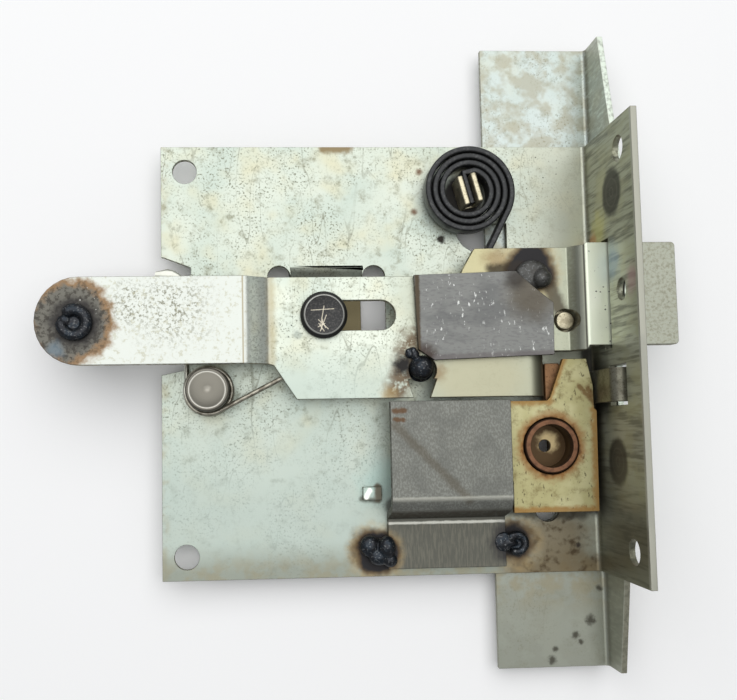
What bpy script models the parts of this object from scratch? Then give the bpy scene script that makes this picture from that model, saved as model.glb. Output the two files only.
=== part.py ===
"""An open-frame rim latch: a sprung slide bolt on a bent base plate, worked by a hub and a pull arm.

+X is the way the bolt throws, +Y runs along the front flange and +Z rises from the base plate's
back face, which lies at Z = 0. The origin is the middle of that face.
"""

import math

import bmesh
import bpy
from mathutils import Matrix, Vector

MM = 0.001
GAP = 0.3 * MM  # clearance between neighbours that touch on the real latch

# Base plate and its front flange, one bent sheet.
SHEET = 1.5 * MM
PLATE_X = 108.5 * MM  # back edge to the flange's inner face
PLATE_Y = 108.0 * MM
FLANGE_TOP = 31.0 * MM
BEND = 1.75 * MM  # centreline radius of a sheet's bend
SCREW_R = 3.05 * MM
CORNER_HOLES = [(-48.3 * MM, 47.6 * MM), (-48.3 * MM, -48.3 * MM), (41.4 * MM, -38.5 * MM)]
FLANGE_SCREWS = [46.8 * MM, -46.7 * MM]
FLANGE_SCREW_Z = 22.8 * MM
TAPPED_HOLE = (13.7 * MM, 21.8 * MM, 2.6 * MM)  # Y, Z, radius, in the flange
TONGUE_X = (-22.0 * MM, -3.9 * MM)
TONGUE_FOLD_Y = 23.0 * MM
TONGUE_FOOT_Y = 17.2 * MM
TONGUE_END_Y = 4.4 * MM
FOOT_Z = -5.0 * MM  # the lowest level, shared by the tongue, the hub's nose and the pull stud

# Mounting angle, spot-welded under the base plate and outside the flange.
ANGLE_X = 28.3 * MM
ANGLE_Y = (-77.6 * MM, 80.3 * MM)
ANGLE_FLANGE = [(80.3, 8.5), (56.0, 14.2), (20.0, 24.0), (-10.0, 24.0), (-54.0, 12.0), (-77.6, 7.4)]

# Slide levels.
SLIDE_T = 2.0 * MM
SLIDE_TOP = 10.8 * MM
ARM_TOP = 13.8 * MM
BOLT_T = 3.0 * MM
HEAD_TOP = 14.1 * MM
BOLT_X = (18.5 * MM, 71.1 * MM)
BOLT_Y = (1.4 * MM, 26.4 * MM)
BOLT_PIN = (44.6 * MM, 7.8 * MM)

# Slide bar.
ARM_CENTRE = (-72.2 * MM, 8.6 * MM)
ARM_R = 10.3 * MM
SLOT_X = (-17.9 * MM, 2.95 * MM)
SLOT_Y = (5.96 * MM, 13.25 * MM)
KEYHOLE = (9.2 * MM, -3.8 * MM, 3.4 * MM)
SLIDE_END_X = 39.7 * MM

# Guide rivet, in the left end of the slot when the bolt is thrown.
GUIDE = (-14.5 * MM, 9.6 * MM)
GUIDE_R = 3.2 * MM
GUIDE_HEAD_R = 5.65 * MM

# Hub and its case.
HUB = (40.2 * MM, -22.6 * MM)
HUB_R = 6.6 * MM
HUB_BORE_R = 5.2 * MM
HUB_TOP = 10.7 * MM
HUB_FLOOR = 4.8 * MM
NOSE_R = 5.6 * MM
RETAINER_R = 7.6 * MM
SOCKET = 7.2 * MM  # across the flats of the spindle socket
CAM_Z = (4.6 * MM, 7.6 * MM)
CAM_TIP_R = 20.2 * MM
CASE_TOP = 10.0 * MM
CASE_LOWER = (1.8 * MM, 3.3 * MM)
CASE_SPACERS = [(19.0 * MM, -16.5 * MM), (19.0 * MM, -28.0 * MM), (49.0 * MM, -32.6 * MM),
                (31.6 * MM, -32.6 * MM)]
CASE_RIVETS = CASE_SPACERS[:2]  # the two that are clear of the mounting angle
COVER_TOP = 12.3 * MM
COVER_T = 2.0 * MM

COVER_STOP = ((-5.0 * MM, -35.2 * MM), (-0.4 * MM, -32.0 * MM))

# Springs and their posts.
POST = (-42.4 * MM, -7.9 * MM)
POST_HEAD_R = 5.2 * MM
WIRE_R = 0.6 * MM
ARBOR = (22.6 * MM, 41.2 * MM)
ARBOR_TILT = math.radians(14.7)
STRIP = 1.4 * MM
STRIP_Z = (2.9 * MM, 7.4 * MM)
FLUSH_Z = 0.1 * MM  # where the posts' riveted ends are ground off

# Meshing and shading.
ARC_STEP = math.radians(15)  # the most that one facet of a fillet turns
SMOOTH_ANGLE = math.radians(32)  # edges sharper than this stay sharp
CUT_Z = (-10.0 * MM, 20.0 * MM)  # reaches of the cutters, past every sheet
CUT_X = (50.0 * MM, 62.0 * MM)
SHEET_CUT = (-3.0 * MM, 3.0 * MM)  # through the base plate only
SLIDE_CUT = (5.0 * MM, 15.0 * MM)  # through the slide only


def clear_scene():
    for obj in list(bpy.data.objects):
        bpy.data.objects.remove(obj, do_unlink=True)


def collection(name):
    made = bpy.data.collections.new(name)
    bpy.context.scene.collection.children.link(made)
    return made


def material(name, colour, roughness, metallic):
    made = bpy.data.materials.new(name)
    made.use_nodes = True
    shader = made.node_tree.nodes["Principled BSDF"]
    shader.inputs["Base Color"].default_value = (*colour, 1.0)
    shader.inputs["Roughness"].default_value = roughness
    shader.inputs["Metallic"].default_value = metallic
    return made


def in_mm(points):
    return [(x * MM, y * MM) for x, y in points]


def filleted(points, radii, closed=True):
    """The outline with each corner rounded to its radius; a radius of 0 leaves the corner sharp."""
    result = []
    count = len(points)
    for i, (point, radius) in enumerate(zip(points, radii)):
        if radius <= 0 or (not closed and i in (0, count - 1)):
            result.append(Vector(point))
            continue
        corner = Vector(point)
        before = (Vector(points[i - 1]) - corner).normalized()
        after = (Vector(points[(i + 1) % count]) - corner).normalized()
        half = before.angle(after) / 2
        centre = corner + (before + after).normalized() * (radius / math.sin(half))
        start = corner + before * (radius / math.tan(half)) - centre
        sweep = math.pi - 2 * half
        turn = 1 if before.x * after.y - before.y * after.x < 0 else -1
        steps = max(2, math.ceil(sweep / ARC_STEP))
        for step in range(steps + 1):
            spun = Matrix.Rotation(turn * sweep * step / steps, 2) @ start
            result.append(centre + spun)
    return result


def strip_outline(points, radii, thickness):
    """The closed outline of a sheet seen edge on, from its centreline and its bends' centreline radii."""
    line = filleted(points, radii, closed=False)
    sides = ([], [])
    for i, point in enumerate(line):
        behind = (point - line[i - 1] if i else line[1] - point).normalized()
        ahead = (line[i + 1] - point if i + 1 < len(line) else behind).normalized()
        along = (ahead + behind).normalized()
        normal = Vector((-along.y, along.x))
        # A mitre is longer than half the thickness by this much, and never more than twice it.
        reach = thickness / 2 / max(0.5, along.dot(ahead))
        sides[0].append(point + normal * reach)
        sides[1].append(point - normal * reach)
    return sides[0] + sides[1][::-1]


def circle_points(x, y, radius, steps=32):
    angles = [2 * math.pi * i / steps for i in range(steps)]
    return [(x + radius * math.cos(a), y + radius * math.sin(a)) for a in angles]


def rectangle(x0, x1, y0, y1):
    return [(x0, y0), (x1, y0), (x1, y1), (x0, y1)]


FRAMES = {
    "XY": Matrix.Identity(4),
    "XZ": Matrix(((1, 0, 0, 0), (0, 0, -1, 0), (0, 1, 0, 0), (0, 0, 0, 1))),
    "YZ": Matrix(((0, 0, 1, 0), (1, 0, 0, 0), (0, 1, 0, 0), (0, 0, 0, 1))),
}


def evaluated_mesh(obj):
    """The mesh that the object's curve settings or modifiers make."""
    bpy.context.view_layer.update()
    graph = bpy.context.evaluated_depsgraph_get()
    return bpy.data.meshes.new_from_object(obj.evaluated_get(graph))


def mesh_object(source, name):
    """A closed mesh object made from a curve or a turned profile, with its faces outwards."""
    bpy.context.scene.collection.objects.link(source)
    mesh = evaluated_mesh(source)
    shape = bmesh.new()
    shape.from_mesh(mesh)
    bmesh.ops.remove_doubles(shape, verts=shape.verts, dist=1e-6)
    bmesh.ops.recalc_face_normals(shape, faces=shape.faces)
    shape.to_mesh(mesh)
    shape.free()
    place = source.matrix_world.copy()
    bpy.data.objects.remove(source, do_unlink=True)
    made = bpy.data.objects.new(name, mesh)
    made.matrix_world = place
    return made


def prism(name, outline, low, high, plane="XY"):
    """A flat outline drawn in a plane and extruded along the plane's normal, from low to high."""
    data = bpy.data.curves.new(name, "CURVE")
    data.dimensions = "2D"
    data.fill_mode = "BOTH"
    data.extrude = (high - low) / 2
    spline = data.splines.new("POLY")
    spline.points.add(len(outline) - 1)
    for point, (x, y) in zip(spline.points, outline):
        point.co = (x, y, 0, 1)
    spline.use_cyclic_u = True
    curve = bpy.data.objects.new(name, data)
    middle = (low + high) / 2
    # The XZ frame's normal is -Y, so its offset changes sign.
    offset = -middle if plane == "XZ" else middle
    curve.matrix_world = FRAMES[plane] @ Matrix.Translation((0, 0, offset))
    return mesh_object(curve, name)


def block(name, low, high, angle=0.0):
    """A box between two corners, turned about its own middle's vertical axis."""
    mesh = bpy.data.meshes.new(name)
    shape = bmesh.new()
    bmesh.ops.create_cube(shape, size=1.0)
    size = Vector(high) - Vector(low)
    bmesh.ops.scale(shape, vec=size, verts=shape.verts)
    shape.to_mesh(mesh)
    shape.free()
    made = bpy.data.objects.new(name, mesh)
    made.location = (Vector(low) + Vector(high)) / 2
    made.rotation_euler.z = angle
    return made


def rod(name, x, y, z0, z1, radius, steps=32):
    """An upright cylinder."""
    mesh = bpy.data.meshes.new(name)
    shape = bmesh.new()
    bmesh.ops.create_cone(
        shape, cap_ends=True, segments=steps, radius1=radius, radius2=radius, depth=z1 - z0
    )
    shape.to_mesh(mesh)
    shape.free()
    made = bpy.data.objects.new(name, mesh)
    made.location = (x, y, (z0 + z1) / 2)
    return made


def turned(name, x, y, profile, steps=32):
    """A shape turned about the vertical axis through x, y. The profile of (radius, z) runs down."""
    mesh = bpy.data.meshes.new(name)
    edges = [(i, i + 1) for i in range(len(profile) - 1)]
    mesh.from_pydata([(r, 0, z) for r, z in profile], edges, [])
    made = bpy.data.objects.new(name, mesh)
    made.location = (x, y, 0)
    screw = made.modifiers.new("Turn", "SCREW")
    screw.steps = steps
    screw.render_steps = steps
    screw.use_merge_vertices = True
    screw.merge_threshold = 1e-6
    return mesh_object(made, name)


def bead(name, x, y, z, radius, height):
    """A weld bead: a flattened ball."""
    mesh = bpy.data.meshes.new(name)
    shape = bmesh.new()
    bmesh.ops.create_uvsphere(shape, u_segments=16, v_segments=8, radius=1.0)
    bmesh.ops.scale(shape, vec=(radius, radius, height / 2), verts=shape.verts)
    shape.to_mesh(mesh)
    shape.free()
    made = bpy.data.objects.new(name, mesh)
    made.location = (x, y, z + height / 2)
    return made


def boolean(target, other, operation):
    modifier = target.modifiers.new(f"{operation.title()} {other.name}", "BOOLEAN")
    modifier.operation = operation
    modifier.object = other
    CUTTERS.objects.link(other)
    other.hide_render = True
    other.display_type = "WIRE"
    return target


def cut(target, *others):
    for other in others:
        boolean(target, other, "DIFFERENCE")
    return target


def part(obj, finish, parent):
    """Carries out a sub-part's Booleans, files it under its body and gives it its finish."""
    PARTS.objects.link(obj)
    obj.data = evaluated_mesh(obj)
    obj.modifiers.clear()
    world = obj.matrix_basis.copy()
    obj.parent = parent
    obj.matrix_parent_inverse = parent.matrix_basis.inverted()
    obj.matrix_basis = world
    obj.data.materials.clear()
    obj.data.materials.append(finish)
    obj.data.shade_smooth()
    obj.data.set_sharp_from_angle(angle=SMOOTH_ANGLE)


def body(name, location=(0, 0, 0)):
    """The empty on a moving body's joint axis, or at the origin for the frame."""
    empty = bpy.data.objects.new(name, None)
    empty.empty_display_size = 10 * MM
    empty.location = location
    PARTS.objects.link(empty)
    return empty


def through(name, x, y, radius, reach=CUT_Z):
    """A cutter for an upright round hole."""
    return rod(name, x, y, *reach, radius)


def flange_hole(name, y, z, radius):
    return prism(name, circle_points(y, z, radius, 24), *CUT_X, "YZ")


def flange_window(name, y0, y1, z0, z1):
    return prism(name, rectangle(y0, y1, z0, z1), *CUT_X, "YZ")


def bolt_window(name):
    return flange_window(name, BOLT_Y[0] - 0.8 * MM, BOLT_Y[1] + 0.8 * MM, 10.5 * MM, 14.8 * MM)


def lug_window(name):
    return flange_window(name, -13.2 * MM, -3.6 * MM, 12.5 * MM, 22.6 * MM)


def base_plate():
    back = PLATE_X / -2
    line = [(back, SHEET / 2), (PLATE_X / 2 + SHEET / 2, SHEET / 2), (PLATE_X / 2 + SHEET / 2, FLANGE_TOP)]
    section = strip_outline(line, [0, BEND, 0], SHEET)
    plate = prism("base_plate", section, -PLATE_Y / 2, PLATE_Y / 2, "XZ")
    cut(plate, *(through(f"corner_hole_{i}", x, y, SCREW_R) for i, (x, y) in enumerate(CORNER_HOLES)))
    cut(plate, through("hub_hole", *HUB, NOSE_R + 0.4 * MM))
    cut(plate, through("post_hole", *POST, 2.8 * MM), through("arbor_hole", *ARBOR, 2.3 * MM))
    cut(plate, *(through(f"case_rivet_hole_{i}", x, y, 1.2 * MM) for i, (x, y) in enumerate(CASE_RIVETS)))
    cut(plate, *(flange_hole(f"flange_screw_{i}", y, FLANGE_SCREW_Z, 3.0 * MM)
                 for i, y in enumerate(FLANGE_SCREWS)))
    cut(plate, flange_hole("tapped_hole", *TAPPED_HOLE))
    cut(plate, bolt_window("bolt_window"), lug_window("lug_window"))

    notch = in_mm([(-60, 25.8), (-53.7, 25.8), (-46.8, 23.2), (-48.6, -2.5), (-54.1, -3.6), (-60, -3.6)])
    cut(plate, prism("arm_notch", filleted(notch, [0, 0, 0.5 * MM, 0.5 * MM, 0, 0]), *SHEET_CUT))
    mouth = in_mm([(20.5, 34.0), (20.5, 30.7), (22.0, 28.3), (24.2, 26.9), (24.5, 25.8), (23.2, 24.0),
                   (19.5, 19.5), (19.5, 12.0), (27.8, 12.0), (27.8, 22.0), (33.3, 25.5), (33.3, 34.0)])
    corners = [0, 0, 2 * MM, 0.4 * MM, 0.4 * MM, 0, 0, 0, 0, 0, 0, 0]
    cut(plate, prism("spring_mouth", filleted(mouth, corners), *SHEET_CUT))
    relief_r = 2.9 * MM
    relief_y = TONGUE_FOLD_Y - 2.4 * MM
    reliefs = [(TONGUE_X[0] - relief_r, relief_y), (TONGUE_X[1] + relief_r, relief_y)]
    window_low_y = 3.5 * MM
    window = rectangle(reliefs[0][0] - relief_r, reliefs[1][0] + relief_r, window_low_y, relief_y)
    cut(plate, prism("slide_window", window, *SHEET_CUT))
    cut(plate, prism("tongue_gap", rectangle(*TONGUE_X, relief_y - 1 * MM, TONGUE_FOLD_Y), *SHEET_CUT))
    for i, (x, y) in enumerate(reliefs):
        cut(plate, through(f"relief_{i}", x, y, relief_r, SHEET_CUT))

    # The tongue slopes down from the plate and carries the guide rivet on a lower level.
    step = [(TONGUE_FOLD_Y + 1.5 * MM, SHEET / 2), (TONGUE_FOLD_Y - 0.2 * MM, SHEET / 2),
            (TONGUE_FOOT_Y, FOOT_Z + SHEET / 2), (TONGUE_END_Y, FOOT_Z + SHEET / 2)]
    tongue = prism("tongue", strip_outline(step, [0, BEND, BEND, 0], SHEET), *TONGUE_X, "YZ")
    boolean(plate, tongue, "UNION")
    cut(plate, through("guide_hole", *GUIDE, GUIDE_R + GAP))
    # The stop beside the cover is pushed up out of the plate, which leaves a recess behind it.
    low, high = COVER_STOP
    boolean(plate, block("cover_stop", (*low, 0.5 * MM), (*high, 3.4 * MM)), "UNION")
    wall = 0.5 * MM
    return cut(plate, block("cover_stop_recess", (low[0] + wall, low[1] + wall, -1.0 * MM),
                            (high[0] - wall, high[1] - wall, 2.0 * MM)))


def mounting_angle():
    low = -GAP - SHEET / 2
    outer = PLATE_X / 2 + SHEET + GAP + SHEET / 2
    line = [(ANGLE_X, low), (outer, low), (outer, 30 * MM)]
    angle = prism("mounting_angle", strip_outline(line, [0, BEND, 0], SHEET), *ANGLE_Y, "XZ")
    crest = in_mm(ANGLE_FLANGE)
    above = crest + [(crest[-1][0] - 5 * MM, crest[-1][1]), (crest[-1][0] - 5 * MM, 40 * MM),
                     (crest[0][0] + 5 * MM, 40 * MM), (crest[0][0] + 5 * MM, crest[0][1])]
    cut(angle, prism("angle_crest", above, 40 * MM, 70 * MM, "YZ"))
    cut(angle, bolt_window("angle_bolt_window"), lug_window("angle_lug_window"))
    cut(angle, flange_hole("angle_tapped_hole", *TAPPED_HOLE))
    cut(angle, through("angle_hub_hole", *HUB, RETAINER_R + 0.6 * MM))
    return cut(angle, through("angle_screw_hole", *CORNER_HOLES[2], SCREW_R))


def slide_bar():
    arm_z, slide_z = ARM_TOP - SLIDE_T / 2, SLIDE_TOP - SLIDE_T / 2
    left, end = ARM_CENTRE[0] - ARM_R, SLIDE_END_X - SLIDE_T / 2
    line = [(left, arm_z), (-33.4 * MM, arm_z), (-28.0 * MM, slide_z), (end, slide_z), (end, 4.2 * MM)]
    bends = [0, 2 * MM, 2 * MM, 3.4 * MM, 0]
    bar = prism("slide_bar", strip_outline(line, bends, SLIDE_T), -15 * MM, 25 * MM, "XZ")
    x, y = ARM_CENTRE
    top, low, low_edge = 19.0 * MM, -1.9 * MM, -10.5 * MM
    beyond, bolt_side = SLIDE_END_X + 10 * MM, BOLT_X[0] - 0.4 * MM
    outline = [(x, low), (-28.0 * MM, low), (-26.6 * MM, low - 0.4 * MM), (-21.2 * MM, low_edge),
               (beyond, low_edge), (beyond, 0), (bolt_side, 0), (bolt_side, top), (x, top)]
    # The arm's end is a half circle between its two straight sides.
    half = [(x + ARM_R * math.cos(a), y + (top - low) / 2 * math.sin(a))
            for a in (math.pi / 2 + math.pi * i / 16 for i in range(1, 16))]
    boolean(bar, prism("slide_plan", outline + half, *CUT_Z), "INTERSECT")
    radius = (SLOT_Y[1] - SLOT_Y[0]) / 2
    slot = filleted(rectangle(*SLOT_X, *SLOT_Y), [radius * 0.98] * 4)
    tail = in_mm([(5.6, -6.0), (7.4, -12.0), (10.4, -12.0), (12.6, -6.0)])
    cut(bar, prism("guide_slot", slot, *SLIDE_CUT))
    cut(bar, through("keyhole", *KEYHOLE, SLIDE_CUT))
    cut(bar, prism("keyhole_tail", tail, *SLIDE_CUT))
    return cut(bar, through("stud_hole", *ARM_CENTRE, 2.8 * MM, (SLIDE_CUT[0], ARM_TOP - 0.6 * MM)))


def latch_bolt():
    tail_z, head_z, under = SLIDE_TOP - BOLT_T / 2, HEAD_TOP - BOLT_T / 2, HEAD_TOP - BOLT_T
    line = [(BOLT_X[0], tail_z), (46.2 * MM, tail_z), (48.6 * MM, head_z), (BOLT_X[1], head_z)]
    bolt = prism("latch_bolt", strip_outline(line, [0, 2 * MM, 2 * MM, 0], BOLT_T), -5 * MM, 30 * MM, "XZ")
    low, high = BOLT_Y
    plan = in_mm([(22.6, 25.7), (19.6, 20.5), (18.5, 18.0), (18.5, 0.4), (48.7, 0.4)])
    plan += [(49.2 * MM, low), (BOLT_X[1], low), (BOLT_X[1], high), (49.2 * MM, high)]
    plan += in_mm([(48.7, 25.9)])
    corners = [0.8 * MM, 0, 0, 0, 0, 0, 1 * MM, 1 * MM, 0, 0]
    boolean(bolt, prism("bolt_plan", filleted(plan, corners), *CUT_Z), "INTERSECT")
    nose = BOLT_X[1] + 1 * MM
    ramp = [(nose - 2.2 * MM, under - 1 * MM), (nose, under - 1 * MM), (nose, under + 2.2 * MM)]
    cut(bolt, prism("nose_ramp", ramp, -5 * MM, 30 * MM, "XZ"))
    return cut(bolt, through("pin_hole", *BOLT_PIN, 2.8 * MM, SLIDE_CUT))


def connecting_strap():
    outline = in_mm([(7.3, 19.0), (32.2, 19.8), (35.8, 16.5), (41.2, 12.0), (41.0, -0.6), (11.8, -1.6),
                     (8.0, 1.0)])
    return prism("connecting_strap", outline, SLIDE_TOP + GAP, SLIDE_TOP + GAP + 1.5 * MM)


def hub_sleeve():
    x, y = HUB
    profile = [(HUB_BORE_R, HUB_TOP), (HUB_R - 0.3 * MM, HUB_TOP), (HUB_R, HUB_TOP - 0.3 * MM),
               (HUB_R, 3.6 * MM), (NOSE_R, 3.6 * MM), (NOSE_R, FOOT_Z), (0, FOOT_Z)]
    profile = [(0, HUB_FLOOR), (HUB_BORE_R, HUB_FLOOR)] + profile
    sleeve = turned("hub_sleeve", x, y, profile)
    half = SOCKET / 2
    socket = block("spindle_socket", (x - half, y - half, FOOT_Z - 1 * MM), (x + half, y + half, 3.8 * MM))
    return cut(sleeve, socket, through("hub_eye", x, y, 1.5 * MM, (3.0 * MM, 6.0 * MM)))


def hub_cam():
    """A disc on the hub with a finger that bears on the slide bar's turned-down end."""
    x, y = HUB
    disc_r = 9.5 * MM
    flank = SLIDE_END_X + GAP - x  # the finger's pushing edge, from the hub's axis
    start = math.acos(flank / disc_r)
    width = 4.4 * MM
    stop = math.acos((flank + width) / disc_r)
    arc = 2 * math.pi - (start - stop)
    disc = [(x + disc_r * math.cos(start + arc * i / 36), y + disc_r * math.sin(start + arc * i / 36))
            for i in range(37)]
    tip = [(x + flank + width - 0.8 * MM, y + CAM_TIP_R), (x + flank, y + CAM_TIP_R)]
    cam = prism("hub_cam", disc + tip, *CAM_Z)
    return cut(cam, through("cam_bore", x, y, HUB_R + GAP))


def hub_retainer():
    """The open ring that holds the hub's nose behind the base plate."""
    x, y = HUB
    ring = rod("hub_retainer", x, y, -GAP - 1.0 * MM, -GAP, RETAINER_R)
    cut(ring, through("retainer_bore", x, y, NOSE_R + GAP))
    mouth = block("retainer_mouth", (x - 2.5 * MM, y - 9 * MM, -5 * MM), (x + 2.5 * MM, y, 0))
    return cut(ring, mouth)


def hub_case_top():
    outline = in_mm([(2.0, -11.6), (39.6, -11.6), (40.3, -10.9), (43.8, -1.5), (49.6, -1.5),
                     (51.0, -8.0), (51.1, -13.6), (51.7, -14.2), (51.4, -38.5), (30.6, -38.5),
                     (30.6, -31.0), (2.0, -31.0)])
    plate = prism("hub_case_top", outline, CASE_TOP - SHEET, CASE_TOP)
    return cut(plate, through("hub_collar_hole", *HUB, HUB_R + GAP))


def hub_case_lower():
    outline = in_mm([(16.0, -13.8), (52.6, -13.8), (52.8, -34.9), (16.0, -34.9)])
    plate = prism("hub_case_lower", outline, *CASE_LOWER)
    return cut(plate, through("nose_hole", *HUB, NOSE_R + 0.4 * MM))


def hold_down_cover():
    """A step-bent bracket over the hub case, with its foot on the base plate."""
    top, foot = COVER_TOP - COVER_T / 2, SHEET + GAP + COVER_T / 2
    line = [(-11.3 * MM, top), (-36.6 * MM, top), (-39.0 * MM, foot), (-52.0 * MM, foot)]
    section = strip_outline(line, [0, 3.2 * MM, 1.3 * MM, 0], COVER_T)
    return prism("hold_down_cover", section, 0.9 * MM, 30.0 * MM, "YZ")


def flange_lug():
    """A bent steel lug that stands behind the flange and hooks through its window."""
    x = PLATE_X / 2 - 1.6 * MM
    line = [(x, SHEET + GAP), (x, 20.0 * MM), (PLATE_X / 2 + 1.2 * MM, 20.0 * MM)]
    section = strip_outline(line, [0, 1.6 * MM, 0], 2.0 * MM)
    return prism("flange_lug", section, -12.4 * MM, -4.4 * MM, "XZ")


def guide_rivet():
    head = SLIDE_TOP + GAP
    profile = [(0, head + 2.2 * MM), (GUIDE_HEAD_R - 0.9 * MM, head + 2.2 * MM),
               (GUIDE_HEAD_R, head + 1.4 * MM), (GUIDE_HEAD_R, head), (GUIDE_R, head),
               (GUIDE_R, FOOT_Z), (0, FOOT_Z)]
    return turned("guide_rivet", *GUIDE, profile)


def guide_bush():
    """The spacer between the tongue and the slide bar."""
    low, high = FOOT_Z + SHEET + GAP, SLIDE_TOP - SLIDE_T - GAP
    ring = rod("guide_bush", *GUIDE, low, high, 5.2 * MM)
    return cut(ring, through("bush_bore", *GUIDE, GUIDE_R + GAP))


def spring_post():
    head = SLIDE_TOP + GAP
    top = head + 1.9 * MM
    profile = [(0, top), (POST_HEAD_R - 0.6 * MM, top), (POST_HEAD_R, top - 0.5 * MM), (POST_HEAD_R, head),
               (2.5 * MM, head), (2.5 * MM, FLUSH_Z), (0, FLUSH_Z)]
    return turned("spring_post", *POST, profile)


def pull_stud():
    """The stud under the arm's end, plug-welded through the arm, for a handle or a cable eye."""
    neck, shoulder = ARM_TOP - 0.7 * MM, ARM_TOP - SLIDE_T - 0.4 * MM
    profile = [(0, neck), (2.5 * MM, neck), (2.5 * MM, shoulder), (4.0 * MM, shoulder), (4.0 * MM, FOOT_Z),
               (0, FOOT_Z)]
    return turned("pull_stud", *ARM_CENTRE, profile)


def bolt_pin():
    """The flush rivet through the bolt and the end of the slide."""
    top, shoulder, low = SLIDE_TOP - 0.2 * MM, SLIDE_TOP - BOLT_T - 0.4 * MM, 4.6 * MM
    profile = [(0, top), (2.2 * MM, top), (2.2 * MM, shoulder), (3.6 * MM, shoulder), (3.6 * MM, low),
               (0, low)]
    return turned("bolt_pin", *BOLT_PIN, profile)


def tube(name, points, radius):
    """A round wire along a list of 3D points."""
    data = bpy.data.curves.new(name, "CURVE")
    data.dimensions = "3D"
    data.bevel_depth = radius
    data.bevel_resolution = 2
    data.use_fill_caps = True
    spline = data.splines.new("POLY")
    spline.points.add(len(points) - 1)
    for point, co in zip(spline.points, points):
        point.co = (*co, 1)
    return mesh_object(bpy.data.objects.new(name, data), name)


def torsion_spring():
    """Four close turns round the post, one leg against the notch and one under the slide bar."""
    x, y = POST
    radius, pitch, low = 5.6 * MM, 1.5 * MM, 2.1 * MM + WIRE_R
    turns = 3 + (297 - 180) / 360
    steps = round(turns * 20)
    coil = []
    for i in range(steps + 1):
        angle = math.pi + 2 * math.pi * turns * i / steps
        z = low + pitch * turns * i / steps
        coil.append((x + radius * math.cos(angle), y + radius * math.sin(angle), z))
    left = [(-55.4 * MM, 21.6 * MM, low), (-50.5 * MM, 21.4 * MM, low), (-48.4 * MM, 20.2 * MM, low),
            (x - radius, 17.0 * MM, low), (x - radius, y + 3 * MM, low)]
    out = Vector((math.cos(math.radians(27)), math.sin(math.radians(27)), 0))
    last = Vector(coil[-1])
    right = [tuple(last + out * length * MM) for length in (4, 10, 18)]
    return tube("torsion_spring", left + coil + right, WIRE_R)


def spring_arbor():
    """A flattened stud, slotted for the clock spring's inner end."""
    x, y = ARBOR
    half_long, half_wide, top, slot = 3.7 * MM, 2.4 * MM, 9.0 * MM, 1.05 * MM
    stud = block("spring_arbor", (x - half_wide, y - half_long, SHEET + GAP),
                 (x + half_wide, y + half_long, top), ARBOR_TILT)
    cut(stud, block("arbor_slot", (x - slot, y - half_long - 1 * MM, STRIP_Z[0] - GAP),
                    (x + slot, y + half_long + 1 * MM, top + 1 * MM), ARBOR_TILT))
    return boolean(stud, rod("arbor_shank", x, y, FLUSH_Z, 2.2 * MM, 2.0 * MM), "UNION")


def clock_spring():
    """A flat strip wound on edge, from the arbor's slot out to a leg under the bolt."""
    x, y = ARBOR
    start = math.pi / 2 + ARBOR_TILT
    sweep = -(2 * math.pi * 3 + math.radians(132))
    inner, outer = 5.2 * MM, 11.1 * MM
    steps = 64
    along = Vector((math.cos(start), math.sin(start)))
    line = [Vector((x, y)) + along * d * MM for d in (-3.3, 5.2)]
    for i in range(2, steps + 1):
        radius = inner + (outer - inner) * i / steps
        angle = start + sweep * i / steps
        line.append(Vector((x + radius * math.cos(angle), y + radius * math.sin(angle))))
    leg = Vector((-0.46, -0.89)).normalized()
    line += [line[-1] + leg * d * MM for d in (4, 12.6)]
    radii = [0, 0.8 * MM] + [0] * (len(line) - 2)
    return prism("clock_spring", strip_outline(line, radii, STRIP), *STRIP_Z)


clear_scene()
PARTS = collection("rim_latch")
CUTTERS = collection("cutters")

ZINC = material("zinc_plated_steel", (0.62, 0.64, 0.58), 0.38, 0.85)
YELLOW = material("yellow_zinc", (0.66, 0.62, 0.44), 0.45, 0.8)
RAW = material("raw_steel", (0.24, 0.24, 0.24), 0.5, 0.85)
BLACK = material("black_oxide", (0.03, 0.03, 0.035), 0.42, 0.6)
BRIGHT = material("bright_steel", (0.55, 0.54, 0.52), 0.3, 0.95)
BURNT = material("weld_bead", (0.06, 0.06, 0.07), 0.5, 0.7)
RUST = material("rusty_steel", (0.24, 0.13, 0.08), 0.65, 0.5)

frame = body("latch_frame")
bolt = body("bolt_carriage", (BOLT_X[1], 0, 0))
hub = body("hub_assembly", (*HUB, 0))

part(base_plate(), ZINC, frame)
part(mounting_angle(), ZINC, frame)
part(guide_rivet(), BLACK, frame)
part(guide_bush(), RUST, frame)
part(spring_post(), RAW, frame)
part(torsion_spring(), BRIGHT, frame)
part(spring_arbor(), BRIGHT, frame)
part(clock_spring(), BLACK, frame)
part(hub_case_top(), YELLOW, frame)
part(hub_case_lower(), YELLOW, frame)
part(hold_down_cover(), RAW, frame)
part(flange_lug(), RAW, frame)
for index, (x, y) in enumerate(CASE_SPACERS):
    low, high = CASE_LOWER[1] + GAP, CASE_TOP - SHEET - GAP
    part(rod(f"case_spacer_{index + 1}", x, y, low, high, 2.0 * MM, 20), RAW, frame)
part(bead("cover_weld_left", -1.7 * MM, -47.5 * MM, SHEET + GAP, 2.6 * MM, 3.6 * MM), BURNT, frame)
part(bead("cover_weld_right", 32.6 * MM, -46.5 * MM, SHEET + GAP, 2.2 * MM, 2.4 * MM), BURNT, frame)

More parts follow.
